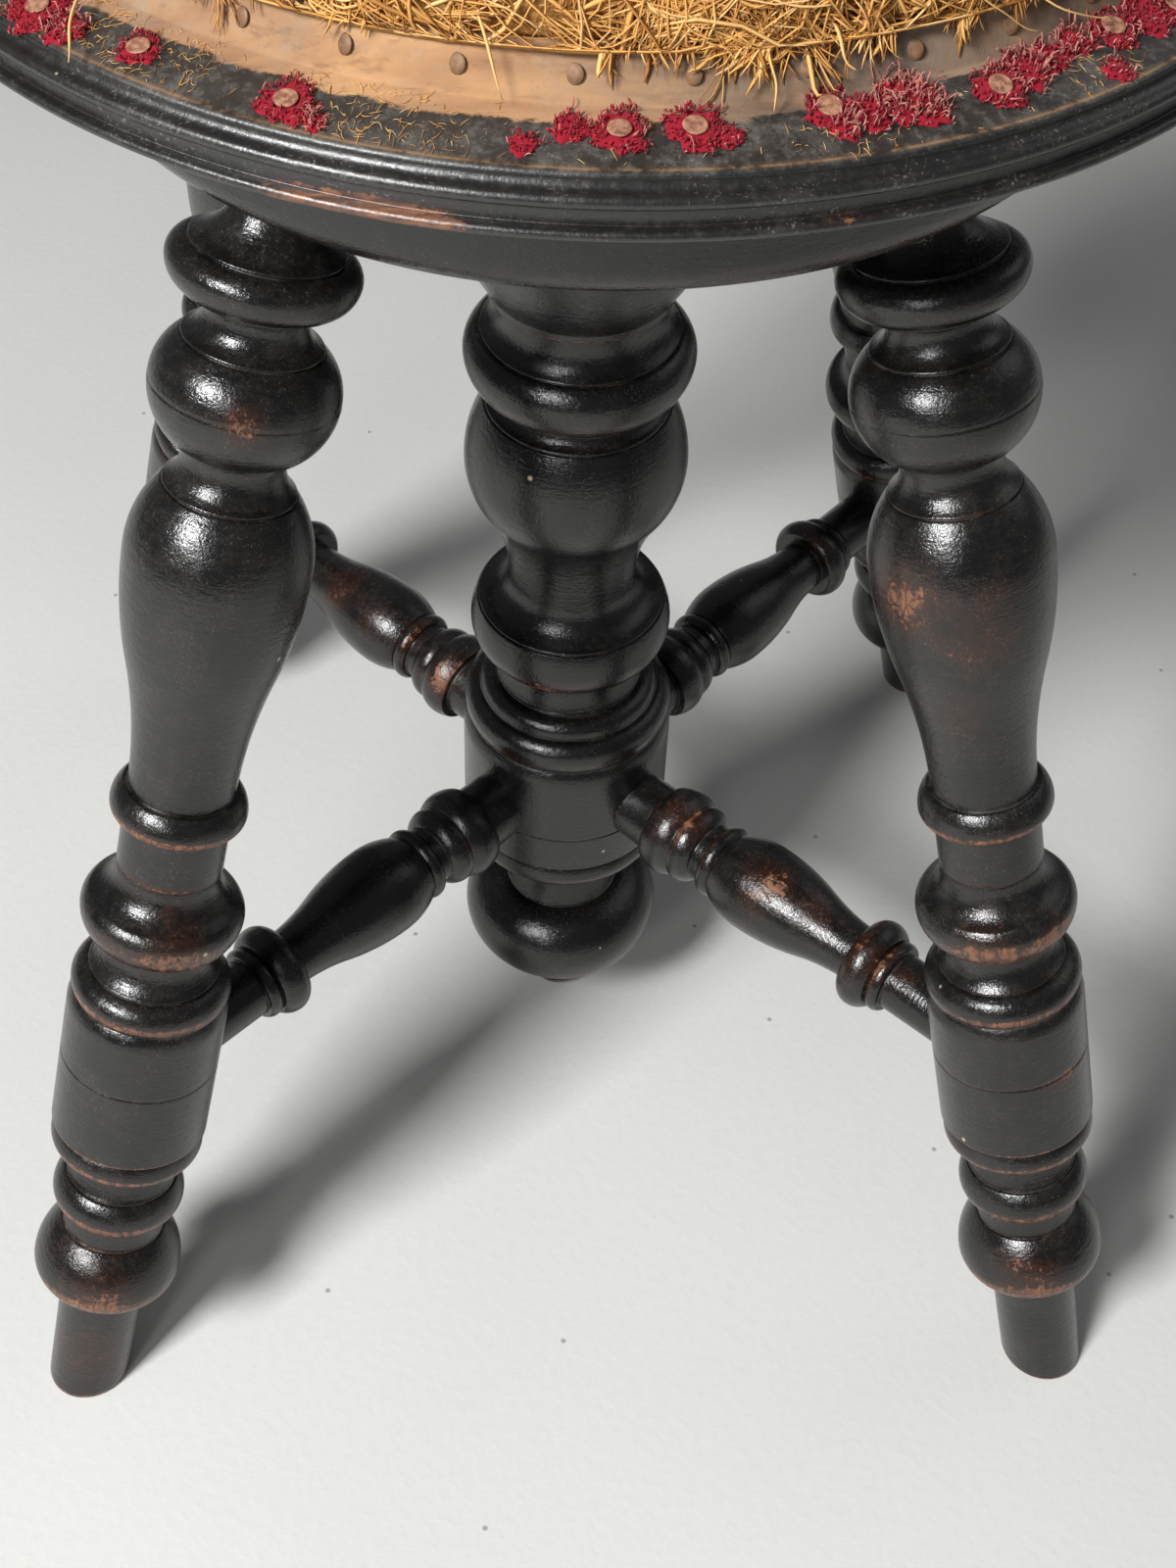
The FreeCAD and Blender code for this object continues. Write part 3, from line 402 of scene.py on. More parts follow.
print("legs")
leg = {
    "tilt": 17.2, "foot": 230.8, "segments": 72,
    "start": (0.0, 0.0),
    "moves": [
        ("step", 12.2), ("round", 13.1, 1.6), ("line", 13.6, 47.1), ("step", 18.2),
        ("round", 23.3, 8.0), ("round", 16.0, 16.4), ("lip", 15.9), ("cove", 15.8, 9.5, 0.05), ("step", 18.0),
        ("bead", 20.4, 12.6, 0.42, 17.4), ("lip", 17.0), ("neck", 15.2, 12.4, 0.6, 16.2), ("step", 20.6),
        ("bead", 23.2, 9.2, 0.4, 21.4), ("step", 21.0), ("line", 21.0, 0.9), ("step", 23.6),
        ("line", 23.6, 28.2), ("line", 23.25, 0.3), ("line", 23.6, 0.3), ("line", 23.6, 18.9),
        ("round", 21.9, 5.2), ("bead", 23.3, 9.8, 0.42, 19.4), ("lip", 18.9),
        ("neck", 15.2, 12.4, 0.6, 15.8), ("step", 19.6),
        ("round", 23.4, 8.6), ("round", 21.2, 5.0), ("cove", 15.0, 12.0, 0.2), ("line", 15.0, 16.4),
        ("step", 16.2), ("bead", 19.1, 10.2, 0.35, 16.2), ("step", 14.9),
        ("ogee", 24.4, 74.0, 0.55), ("round", 17.4, 20.1), ("lip", 17.1),
        ("neck", 13.2, 12.0, 0.6, 14.6), ("step", 16.2), ("line", 16.2, 0.8), ("step", 17.6),
        ("round", 23.8, 14.0), ("line", 23.5, 0.1), ("line", 23.75, 0.2), ("round", 17.8, 12.0),
        ("lip", 17.5),
        ("neck", 12.9, 10.0, 0.6, 14.2), ("step", 16.6), ("line", 16.8, 1.3), ("step", 18.4),
        ("bead", 23.5, 11.8, 0.6, 19.4), ("lip", 18.8),
        ("hollow", 9.3, 12.8), ("line", 9.3, 26.4), ("step", 0.0)],
    "azimuths": {"front_left": 225, "front_right": 315, "back_right": 45, "back_left": 135},
    "worn": {
        "front_left": [
            (-84.7, -108.2, 361.3, 5, 0.72), (-149.1, -170.6, 62.0, 13, 0.75), (-160.8, -171.9, 20, 16, 0.6),
            (-115, -134.7, 209, 5, 0.6), (-112.5, -140.2, 203, 8, 0.65), (-162.8, -156.7, 66, 8, 0.5)],
        "front_right": [
            (78.4, -112.9, 307, 9, 0.88), (98, -120.9, 303, 12, 0.66), (98.7, -121.7, 273.8, 9, 0.55),
            (112.2, -141.2, 202.9, 7, 0.7), (134.7, -137.6, 200, 6, 0.7), (146.5, -170.5, 62, 11, 0.75),
            (145.8, -150.7, 147, 5, 0.7), (114.4, -142.5, 197.5, 5, 0.6)],
        "back_right": [(120, 118, 300, 9, 0.7), (150, 140, 66, 10, 0.7)],
        "back_left": [(-112, 108, 352, 8, 0.7), (-152, 150, 66, 10, 0.7)]},
}


def flatFoot(local, turn):
    # the lowest ring follows the floor, which cuts the leaning peg off level
    slope = math.tan(math.radians(leg["tilt"]))
    fade = 1 - ease(local[:, 2], 0.0, 24.0)
    local = local.copy()
    local[:, 2] -= local[:, 0] * slope * fade
    return local


legLine = eased(turnedLine(leg["start"], leg["moves"]))
# the knee and collar kept their black below
legLine["under"] *= 1.12 - 0.8 * ease(legLine["along"], 340, 356)
for corner, azimuth in leg["azimuths"].items():
    turnedPiece("leg_%s_wood" % corner, legLine, leg["segments"],
                {"tilt": -leg["tilt"], "outward": leg["foot"], "turn": azimuth},
                leg["worn"][corner], legFinish, nodes=["leg_" + corner], shape=flatFoot)

print("column")
column = {
    "base": 65.24, "segments": 96,
    "moves": [
        ("step", 19.6), ("lip", 20.4), ("cove", 21.0, 26.8, 0.1), ("step", 29.4),
        ("bead", 34.6, 11.5, 0.5, 32.0), ("step", 31.5), ("line", 31.5, 1.0), ("step", 35.2),
        ("line", 35.2, 15.0), ("line", 34.8, 0.3), ("line", 35.2, 0.3), ("line", 35.2, 26.0),
        ("round", 33.0, 6.0), ("bead", 34.6, 11.4, 0.5, 30.8), ("lip", 29.8),
        ("bow", 25.0, 4.8, 0.2), ("lip", 24.2), ("cove", 24.0, 14.2, 0.12), ("step", 27.8),
        ("bead", 32.4, 18.4, 0.52, 30.4), ("lip", 29.9), ("step", 28.2),
        ("hollow", 20.2, 9.6), ("ogee", 34.0, 47.0, 0.66), ("round", 28.2, 20.9), ("lip", 27.8),
        ("neck", 24.0, 7.1, 0.6, 24.6), ("step", 29.0), ("bead", 34.0, 17.8, 0.58, 29.8), ("lip", 29.0),
        ("neck", 24.6, 12.6, 0.6, 25.2), ("step", 27.0), ("line", 27.0, 2.0), ("bow", 46.0, 86.3, 0.09),
        ("step", 24.0), ("line", 24.0, 29.6), ("step", 13.6), ("line", 13.6, -279.6), ("step", 0.0)],
    "worn": [(-25.2, -23.6, 159.3, 6, 0.55), (-7.6, -31, 192, 7, 0.45), (30, -12, 120, 6, 0.4)],
}
turnedPiece("column_wood", eased(turnedLine((0, 0), column["moves"])), column["segments"],
            {"height": column["base"]}, column["worn"], columnFinish, nodes=["centre_column"])
finial = {
    "base": 1.24, "segments": 96,
    "moves": [("bow", 6.4, 1.4, 0.08), ("round", 10.6, 6.8), ("ogee", 8.6, 12.3, 0.5), ("hollow", 11.0, 6.8),
              ("step", 14.2), ("round", 35.2, 21.0), ("round", 22.2, 15.7), ("step", 9.0),
              ("line", 9.0, 26.0), ("step", 0.0)],
    "worn": [(8.9, -31, 50, 12, 0.35)],
}
turnedPiece("finial_wood", eased(turnedLine((0, 0), finial["moves"])), finial["segments"],
            {"height": finial["base"]}, finial["worn"], columnFinish, nodes=["drop_finial"])

print("stretchers")
stretcher = {
    "tilt": math.degrees(math.atan2(189.55, 6.63)), "height": 126.54, "segments": 56,
    "start": (0.0, 21.2),
    "moves": [
        ("step", 11.2), ("line", 11.8, 25.8), ("step", 14.2),
        ("bead", 15.7, 11.5, 0.5, 13.4), ("bead", 13.9, 7.5, 0.25, 10.6), ("step", 10.4), ("line", 10.4, 3.8),
        ("step", 11.4), ("bead", 12.9, 5.2, 0.5, 11.4), ("step", 12.0),
        ("round", 15.6, 13.8), ("ogee", 9.4, 42.0, 0.55), ("step", 13.0), ("bead", 15.4, 10.0, 0.45, 12.6),
        ("step", 11.3), ("bead", 12.4, 4.6, 0.5, 11.3), ("step", 9.8), ("line", 9.8, 34.7), ("step", 0.0)],
    "worn": {
        "front_left": [(-32.9, -51.5, 134, 10, 0.35)],
        "front_right": [
            (63.6, -73.8, 143.5, 10, 0.95), (76.9, -81.7, 141.7, 11, 0.7), (38.3, -45.2, 141.5, 8, 0.85),
            (94.2, -104.3, 144.7, 8, 0.7), (102, -108, 140, 7, 0.6)],
        "back_right": [(60.3, 66.3, 144.9, 10, 0.3), (95, 85, 141, 8, 0.35)],
        "back_left": [(-79, 70, 142.5, 13, 0.85), (-71.6, 57.5, 142, 10, 0.6), (-44.3, 27, 138.4, 8, 0.8),
                      (-52.6, 42.8, 139, 7, 0.6)]},
}
stretcherLine = eased(turnedLine(stretcher["start"], stretcher["moves"]), pace=1.3)
stretcherLine["under"] *= 0.45
for corner, azimuth in leg["azimuths"].items():
    turnedPiece("stretcher_%s_wood" % corner, stretcherLine, stretcher["segments"],
                {"tilt": stretcher["tilt"], "height": stretcher["height"], "turn": azimuth},
                stretcher["worn"][corner], stretcherFinish, nodes=["stretcher_" + corner])

print("platform")
platform = {
    "base": 411.44, "start": (24.2, 0.0), "segments": 200,
    "moves": [("step", 123.0), ("round", 133.0, 10.0), ("line", 133.0, 16.9), ("round", 126.0, 7.0),
              ("step", 40.2), ("line", 40.2, -4.0), ("step", 24.2), ("line", 24.2, -29.7)],
}
platformLine = eased(turnedLine(platform["start"], platform["moves"]))
turnedPiece("platform_wood", platformLine, platform["segments"], {"height": platform["base"]}, [],
            platformFinish, nodes=["top_platform"], closed=True)

print("iron work")


def ironLook(name):
    look = Finish(name)
    place = look.place()
    patchy, fine = look.noise(place, 90.0, 4.0, 0.65), look.noise(place, 700.0, 3.0)
    rust = look.spread(look.weigh((patchy, 1.0), (fine, 0.5)), 0.72, 0.98)
    colour = look.mix(rust, (0.20, 0.19, 0.18, 1), (0.13, 0.055, 0.025, 1))
    look.bump(look.weigh((patchy, 0.6), (fine, 0.6)), 0.00012)
    metal = look.spread(rust, 0.0, 1.0, 0.95, 0.25)
    return look.set(Base_Color=colour, Roughness=look.spread(rust, 0.0, 1.0, 0.36, 0.75), Metallic=metal)


iron = ironLook("agedIron")
screw = {"radius": 12.5, "length": 222.0, "lead": 8.0, "depth": 1.5, "top": 447.94, "spigot": 9.0,
         "rings": 520, "noseRings": 8, "segments": 56}
screwLine = {
    "radius": np.concatenate([
        [0, screw["radius"] - 3.7], np.linspace(screw["radius"] - 3.6, screw["radius"], screw["noseRings"]),
        np.full(screw["rings"], screw["radius"]), [screw["spigot"], screw["spigot"], 0]]),
    "along": np.concatenate([
        [0, 0], np.linspace(0.05, 3.7, screw["noseRings"]), np.linspace(3.9, screw["length"], screw["rings"]),
        [screw["length"], screw["length"] + 5, screw["length"] + 5]])}
for key in ("edge", "under"):
    screwLine[key] = np.zeros(len(screwLine["radius"]))


def threaded(local, turn):
    # rounded square thread, right handed, fading out under the flange
    phase = (local[:, 2] / screw["lead"] - turn / (2 * math.pi)) % 1
    wave = ease(np.abs(phase - 0.5) * 2, 0.38, 0.66)
    fade = 1 - ease(local[:, 2], screw["length"] - 14, screw["length"] - 4)
    radius = np.hypot(local[:, 0], local[:, 1])
    cut = screw["depth"] * (1 - wave) * fade * (radius > 6)
    shrink = (radius - cut) / np.maximum(radius, 1e-6)
    local = local.copy()
    local[:, :2] *= shrink[:, None]
    return local


turnedPiece("seat_screw_thread", screwLine, screw["segments"], {"height": screw["top"] - screw["length"]},
            [], iron, "seat", ["seat_screw"], shape=threaded)
slotted = {"count": 4, "radius": 4.6, "shank": 2.4, "length": 18.2,
           "sets": {"nut_plate_screws": (31.0, 445.34, 45.0, 0.0, "base"),
                    "flange_screws": (36.0, 447.94, 0.0, 180.0, "seat")}}
headLine = eased(turnedLine((0, -slotted["length"]),
                            [("line", slotted["shank"], 2.4), ("line", slotted["shank"], 13.6),
                             ("line", slotted["radius"] - 0.1, 2.0), ("line", 4.3, 0.2), ("line", 3.2, 0.0),
                             ("line", 1.8, 0.0), ("line", 0.0, 0.0)]), edge=0.08, pace=0.35)


def slotCut(local, turn):
    # a driver slot across the flat head
    local = local.copy()
    inSlot = (np.abs(local[:, 1]) < 0.55) & (local[:, 2] > -0.3)
    local[inSlot, 2] -= 0.9
    return local


for nodeName, (circle, height, first, flip, body) in slotted["sets"].items():
    groups = []
    for index in range(slotted["count"]):
        local, faces, floats, turn = lathe(headLine, 40)
        spin = placed(slotCut(local, turn), turn=rng.uniform(0, 180))
        groups.append(placed(placed(spin, tilt=flip), outward=circle, turn=first + 90 * index, height=height))
    allFaces = repeated(faces, len(groups[0]), slotted["count"])
    heads = meshPiece(nodeName + "_slotted", np.concatenate(groups), allFaces, body, iron)
    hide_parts(nodeName)
for nodeName in ("nut_plate", "seat_flange"):
    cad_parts[nodeName].data.materials.clear()
    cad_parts[nodeName].data.materials.append(iron)


def leatherLook():
    look = Finish("washerLeather")
    fibres = look.noise(look.place(), 500.0, 4.0)
    look.bump(fibres, 0.00015)
    tanned = look.mix(fibres, (0.060, 0.030, 0.016, 1), (0.17, 0.095, 0.05, 1))
    return look.set(Base_Color=tanned, Roughness=0.8)


leather = leatherLook()
washerMoves = [("step", 30.0), ("line", 30.0, 2.0), ("step", 12.8), ("line", 12.8, -2.0)]
turnedPiece("washer_disc", eased(turnedLine((12.8, 0.0), washerMoves), edge=0.25, pace=1.0), 120,
            {"height": 445.64}, [], leather, "washer", ["thrust_washer"], closed=True)

print("seat board")
# the black band rises from its outer edge to the foot of the pale upstand
seat = {"base": 452.94, "bandHeight": 12.4, "bandOuter": 164.2, "bandWidth": 15.3, "bandRise": 3.6,
        "segments": 264}


def boardLook():
    # the same black polish, with a ragged edge to bare wood where the cover used to hide it
    look = Finish("seatBoardWood")
    place = look.place()
    grain = look.stretch(place, (0.16, 1.0, 1.0))
    broad, patchy = look.noise(place, 15.0, 2.0), look.noise(place, 60.0, 5.0, 0.66)
    fine, speck = look.noise(place, 380.0, 4.0, 0.65), look.noise(place, 1400.0, 2.0)
    streak, rings = look.noise(grain, 420.0, 5.0, 0.62), look.noise(grain, 95.0, 3.0)
    edge, worn, bareBand, upper = (look.read(key) for key in ("edge", "worn", "bare", "upper"))
    drive = look.weigh((look.maths("MAXIMUM", edge, 0.0), 0.16), (worn, 1.0), (patchy, 0.90), (fine, 0.70),
                       (broad, 0.45), (streak, 0.60), (speck, 0.30))
    thin = look.spread(drive, 2.05, 2.50)
    scuffed = look.spread(drive, 2.30, 2.44)
    colour = look.mix(thin, (0.0115, 0.0108, 0.0102, 1), stain)
    colour = look.mix(scuffed, colour, look.mix(look.spread(streak, 0.35, 0.7), bareDark, bareWorn))
    ragged = look.weigh((bareBand, 1.0), (patchy, 0.9), (fine, 0.35), (streak, 0.45))
    bare = look.spread(ragged, 1.24, 1.38)
    pale = look.mix(look.spread(rings, 0.30, 0.70), agedWood, paleWood)
    pale = look.mix(look.spread(streak, 0.50, 0.70, 0.0, 0.6), pale, (0.21, 0.090, 0.040, 1))
    pale = look.mix(look.spread(patchy, 0.48, 0.75, 0.0, 0.45), pale, (0.60, 0.40, 0.23, 1))
    pale = look.mix(look.spread(broad, 0.42, 0.66, 0.0, 0.5), pale, (0.19, 0.105, 0.065, 1))
    aged = look.mix(look.spread(rings, 0.34, 0.66), (0.105, 0.062, 0.038, 1), (0.30, 0.195, 0.120, 1))
    darkened = look.times(look.read("aged"), look.spread(patchy, 0.30, 0.55, 0.5, 1.0))
    pale = look.mix(darkened, pale, aged)
    colour = look.mix(bare, colour, pale)
    grime = look.weigh((look.spread(fine, 0.46, 0.70), 0.12), (look.spread(patchy, 0.50, 0.72), 0.12))
    dust = look.times(grime, look.weigh((upper, 1.1), (0.30, 1.0)))
    greying = look.spread(look.weigh((patchy, 0.35), (rings, 0.65)), 0.36, 0.64, 0.02, 0.20)
    colour = look.mix(look.times(upper, greying), colour, (0.105, 0.094, 0.080, 1))
    # painted glints: grey flecks stand in for light caught by fine pores in the polish
    strewn = look.spread(patchy, 0.44, 0.62, 0.05, 0.5)
    paintedGlints = look.times(look.spread(speck, 0.60, 0.68), strewn)
    colour = look.mix(paintedGlints, colour, (0.215, 0.190, 0.160, 1))
    colour = look.mix(dust, colour, dustGrey)
    uneven = look.spread(look.weigh((patchy, 0.6), (fine, 0.4)), 0.40, 0.56)
    rubbed = look.times(look.read("crest"), uneven)
    colour = look.mix(look.times(rubbed, 0.8), colour, (0.36, 0.215, 0.115, 1))
    chips = look.chips(place, 110.0, 0.86)
    colour = look.mix(chips, colour, (0.60, 0.48, 0.33, 1))
    rough = look.weigh((patchy, 0.22), (fine, 0.16), (bare, 0.40), (upper, 0.20), (dust, 0.9), (thin, 0.04))
    look.bump(look.weigh((streak, 0.7), (fine, 0.7), (speck, 0.3), (patchy, 1.2), (bare, -0.8)), 0.00020, 0.8)
    return look.set(Base_Color=colour, Roughness=look.maths("ADD", rough, 0.15), Specular_IOR_Level=0.85)


boardLine = eased(turnedLine((0.0, 8.0), [
    ("step", 11.0), ("line", 11.0, -8.0), ("step", 168.8), ("bead", 170.0, 2.4, 0.5, 168.8), ("step", 167.4),
    ("line", 167.4, 3.6), ("bead", 169.1, 3.12, 0.5, 167.8), ("cove", 165.4, 2.08, 0.2), ("step", 166.0),
    ("round", 164.2, 1.2), ("line", 148.9, 3.6), ("line", 144.4, 10.0), ("step", 0.0)]), edge=0.25, pace=1.5)
local, faces, floats, turn = lathe(boardLine, seat["segments"])
points = placed(local, height=seat["base"])
radius = np.hypot(points[:, 0], points[:, 1])
wave = (np.sin(turn * 3 + 1.2) + 0.8 * np.sin(turn * 7 + 0.4) + 0.6 * np.sin(turn * 13 + 2.0)) / 2.4
paleSide = ease(np.cos(turn - math.radians(244)), 0.55, 1.0)
floats["bare"] = ease(-radius, -(154.0 + 3.2 * wave + 3.5 * paleSide), -148.2) * (local[:, 2] > 14)
floats["aged"] = ease(np.cos(turn - math.radians(305)), 0.72, 0.93)
floats["upper"] = ease(local[:, 2], 11.6, 12.8)
floats["crest"] = np.exp(-((radius - 164.5) / 0.45) ** 2) * (local[:, 2] > 10)
rimSpots = [(-61.7, -157.8, 455.2, 10, 1.0), (-48.4, -162.5, 455.1, 11, 1.15), (-37.3, -165, 455.3, 8, 1.0),
            (-1.3, -168.8, 455.3, 6, 0.6), (13.4, -167, 455.0, 6, 0.55), (41.2, -164, 456, 9, 0.7),
            (90, 140, 456, 12, 0.8), (-150, 70, 456, 10, 0.8), (150, 75, 462, 12, 0.7),
            (-20, 168, 456, 12, 0.8)]
floats["worn"] = spotMask(points, rimSpots) * (1 - 0.85 * ease(local[:, 2], 3.2, 5.6))
board = meshPiece("seat_board_wood", points, faces, "seat", boardLook(), floats)
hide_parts("seat_board")

print("tacks")
tack = {"count": 42, "segments": 14, "outward": 146.65, "height": 21.0, "lean": 0.05,
        "moves": [("step", 1.9), ("line", 2.1, 0.5), ("bow", 0.0, 0.45, 0.1)]}
tackLine = eased(turnedLine((0.0, -0.4), tack["moves"]), edge=0.1, pace=0.4)
headPoints, headFaces, floats, turn = lathe(tackLine, tack["segments"])
slant = math.atan2(10.0, 4.5)
groups = []
for index in range(tack["count"]):
    azimuth = 360 / tack["count"] * index
    lean = math.pi / 2 - slant + rng.normal(0, tack["lean"])
    tilted = headPoints @ np.array(Matrix.Rotation(lean, 3, "X")).T
    leaned = placed(tilted, tilt=math.degrees(slant))
    groups.append(placed(leaned, outward=tack["outward"], turn=azimuth, height=seat["base"] + tack["height"]))
allFaces = repeated(headFaces, len(headPoints), tack["count"])


def tackLook():
    look = Finish("tackSteel")
    rusty = look.noise(look.place(), 900.0, 3.0)
    rusted = look.mix(rusty, (0.12, 0.062, 0.034, 1), (0.34, 0.19, 0.10, 1))
    return look.set(Base_Color=rusted, Roughness=0.6, Metallic=0.3)


tackSteel = tackLook()
tackHeads = meshPiece("tack_heads", np.concatenate(groups), allFaces, "seat", tackSteel)
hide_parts("upholstery_tacks")

print("stuffing")
stuffing = {"base": 479.24, "edge": 144.4, "side": 21.0, "draw": 6.0, "roll": 22.0, "dip": 2.6, "crown": 12.0}


def stuffingOutline():
    top = stuffing["edge"] - stuffing["draw"]
    roll = stuffing["edge"] - stuffing["roll"]
    moves = [("step", stuffing["edge"]), ("bow", top, stuffing["side"], 3.5 / 21),
             ("bow", roll, stuffing["roll"] * 0.16, 0.28),
             ("line", roll - stuffing["roll"] * 0.5, -stuffing["dip"])]
    line = turnedLine((0.0, 0.0), moves)
    reach, rise = line[-1, 0], stuffing["crown"]
    radius = (reach * reach + rise * rise) / (2 * rise)
    swing = np.linspace(math.asin(reach / radius), 0, 40)[1:]
    dome = np.stack([radius * np.sin(swing), line[-1, 1] + rise - radius * (1 - np.cos(swing))], 1)
    return np.concatenate([line, dome])


def coirLook(name, strands):
    look = Finish(name)
    place = look.place()
    patchy, fine = look.noise(place, 45.0, 4.0), look.noise(place, 900.0, 3.0, 0.7)
    if strands:
        tint, deep = look.read("tint"), look.read("deep")
        colour = look.mix(look.spread(tint, 0.0, 0.6), (0.42, 0.185, 0.045, 1), (0.80, 0.43, 0.130, 1))
        colour = look.mix(look.spread(tint, 0.6, 1.0), colour, (0.88, 0.58, 0.25, 1))
        # painted shade: strands lying low in the mat, under the others, are darkened toward dark brown
        colour = look.mix(look.times(deep, 0.55), colour, (0.30, 0.125, 0.033, 1))
        colour = look.mix(look.spread(patchy, 0.55, 0.75, 0.0, 0.35), colour, (0.34, 0.155, 0.045, 1))
        look.bump(fine, 0.00006)
    else:
        colour = look.mix(look.spread(look.weigh((patchy, 0.5), (fine, 0.5)), 0.35, 0.65),
                          (0.24, 0.105, 0.028, 1), (0.66, 0.35, 0.105, 1))
        look.bump(fine, 0.0006)
    return look.set(Base_Color=colour, Roughness=0.80, Specular_IOR_Level=0.20)


stuffLine = stuffingOutline()
bodyLine = eased(stuffLine, edge=1.2, pace=2.4, turn=0.3)
local, faces, floats, turn = lathe(bodyLine, 240)


def lumps(points, seed, scale):
    # broad uneven swellings, a sum of slanted waves
    source = np.random.default_rng(seed)
    total = np.zeros(len(points))
    for _ in range(14):
        direction = source.normal(0, 1, 3)
        direction /= np.linalg.norm(direction)
        total += np.sin(points @ direction / (scale * source.uniform(0.6, 1.6)) + source.uniform(0, 6.28))
    return total / 5.0


shift = 0.55 + 1.0 * lumps(local, 5, 9.0) + 0.5 * lumps(local, 6, 3.4)
outwardMove = np.stack([local[:, 0], local[:, 1], np.zeros(len(local))], 1)
outwardMove /= np.maximum(np.linalg.norm(outwardMove, axis=1), 1)[:, None]
upper = ease(local[:, 2], 14.0, 23.0)
rise = ease(local[:, 2], 0.5, 4.0)
inset = local - outwardMove * ((1 - upper) * rise * (1.0 - 0.7 * shift))[:, None]
inset[:, 2] += upper * (shift - 1.3)
pad = meshPiece("stuffing_pad", placed(inset, height=stuffing["base"]), faces, "seat",
                coirLook("coirMat", False), floats)
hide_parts("seat_stuffing")

print("strands")
# flattened distance from the crown to a place on the surface; past the stuffing it runs on down the bare wood
drape = np.concatenate([[[154.0, -13.2], [148.9, -10.6], [145.2, -0.6]], stuffLine[2:]])[::-1]
drapeTravel = np.concatenate([[0], np.cumsum(np.hypot(*np.diff(drape, axis=0).T))])
drapeNormal = np.stack([-np.gradient(drape[:, 1], drapeTravel), np.gradient(drape[:, 0], drapeTravel)], 1)
drapeNormal /= np.maximum(np.linalg.norm(drapeNormal, axis=1), 1e-6)[:, None]
rimTravel = drapeTravel[-3]


def onDrape(flat, lift):
    # flat points in the unrolled plane to points lifted off the surface
    away = np.maximum(np.hypot(flat[..., 0], flat[..., 1]), 1e-6)
    radius, height, outR, outZ = (np.interp(away, drapeTravel, values)
                                  for values in (*drape.T, *drapeNormal.T))
    size = np.hypot(outR, outZ)
    radius = radius + lift * outR / size
    height = height + lift * outZ / size
    side = flat / away[..., None]
    points = np.stack([side[..., 0] * radius, side[..., 1] * radius, height + stuffing["base"]], -1)
    normal = np.stack([side[..., 0] * outR, side[..., 1] * outR, outZ], -1)
    return points, normal


def tubes(paths, normals, width, thick):
    # three-sided strands along the paths, flattened against their normals, ends closed
    count, steps, _ = paths.shape
    along = np.gradient(paths, axis=1)
    along /= np.maximum(np.linalg.norm(along, axis=2, keepdims=True), 1e-9)
    across = np.cross(along, normals)
    across /= np.maximum(np.linalg.norm(across, axis=2, keepdims=True), 1e-9)
    lifted = np.cross(across, along)
    taper = np.interp(np.linspace(0, 1, steps), [0, 0.12, 0.8, 1], [0.5, 1, 0.9, 0.25])[None, :, None]
    ring = []
    for angle in (math.pi / 2, math.pi * 7 / 6, math.pi * 11 / 6):
        ring.append(paths + taper * (across * (width[:, None, None] * math.cos(angle))
                                     + lifted * (thick[:, None, None] * math.sin(angle))))
    points = np.stack(ring, 2).reshape(-1, 3)
    number = np.arange(count * steps * 3).reshape(count, steps, 3)
    beside = np.roll(number, -1, 2)
    sides = np.stack([number[:, :-1], beside[:, :-1], beside[:, 1:], number[:, 1:]], 3).reshape(-1, 4)
    caps = np.concatenate([number[:, 0, ::-1], number[:, -1]])
    return points, [sides, caps]


def strandPiece(name, paths, normals, width, thick, tint, deep, finish):
    points, faces = tubes(paths, normals, width, thick)
    steps = paths.shape[1] * 3
    # deep: painted shade on coir strands, the fade to pale threads on the velvet
    floats = {"tint": np.repeat(tint, steps), "deep": np.repeat(deep, steps)}
    return meshPiece(name, points, faces, "seat", finish, floats)


def wander(count, steps, length, curl):
    # headings that drift along each strand, as steps of a walk in the plane
    steady = rng.normal(0, curl, (count, 1))
    turnRate = steady + rng.normal(0, curl * 0.6, (count, 1)) * np.linspace(-1, 1, steps)
    return np.cumsum(turnRate * length[:, None] / steps, axis=1)


coir = coirLook("coirStrands", True)
layers = {
    "topStrands": {"clumps": 960, "members": 4, "bundle": 1.6, "low": 0.0, "high": 134.0, "length": (20, 60),
                   "curl": 0.03, "spread": 3.2, "lift": (0.1, 2.4), "arch": 1.4, "steps": 7, "width": 1.0},
    "matStrands": {"clumps": 1500, "members": 3, "bundle": 1.3, "low": 88.0, "high": rimTravel,
                   "length": (7, 20), "curl": 0.07, "spread": 1.0, "lift": (0.0, 1.9), "arch": 1.8,
                   "steps": 5, "width": 0.8},
    "edgeStrands": {"clumps": 1050, "members": 4, "bundle": 1.2, "low": 112.0, "high": rimTravel,
                    "length": (18, 62), "curl": 0.035, "spread": 0.40, "lift": (0.2, 2.8), "arch": 1.4,
                    "steps": 7, "width": 0.9},
    "frayedEnds": {"clumps": 450, "members": 10, "bundle": 0.9, "low": rimTravel - 15.0,
                   "high": rimTravel - 2.0, "length": (4, 12), "curl": 0.09, "spread": 0.85,
                   "lift": (0.3, 2.4), "arch": 0.0, "steps": 6, "width": 0.75},
}
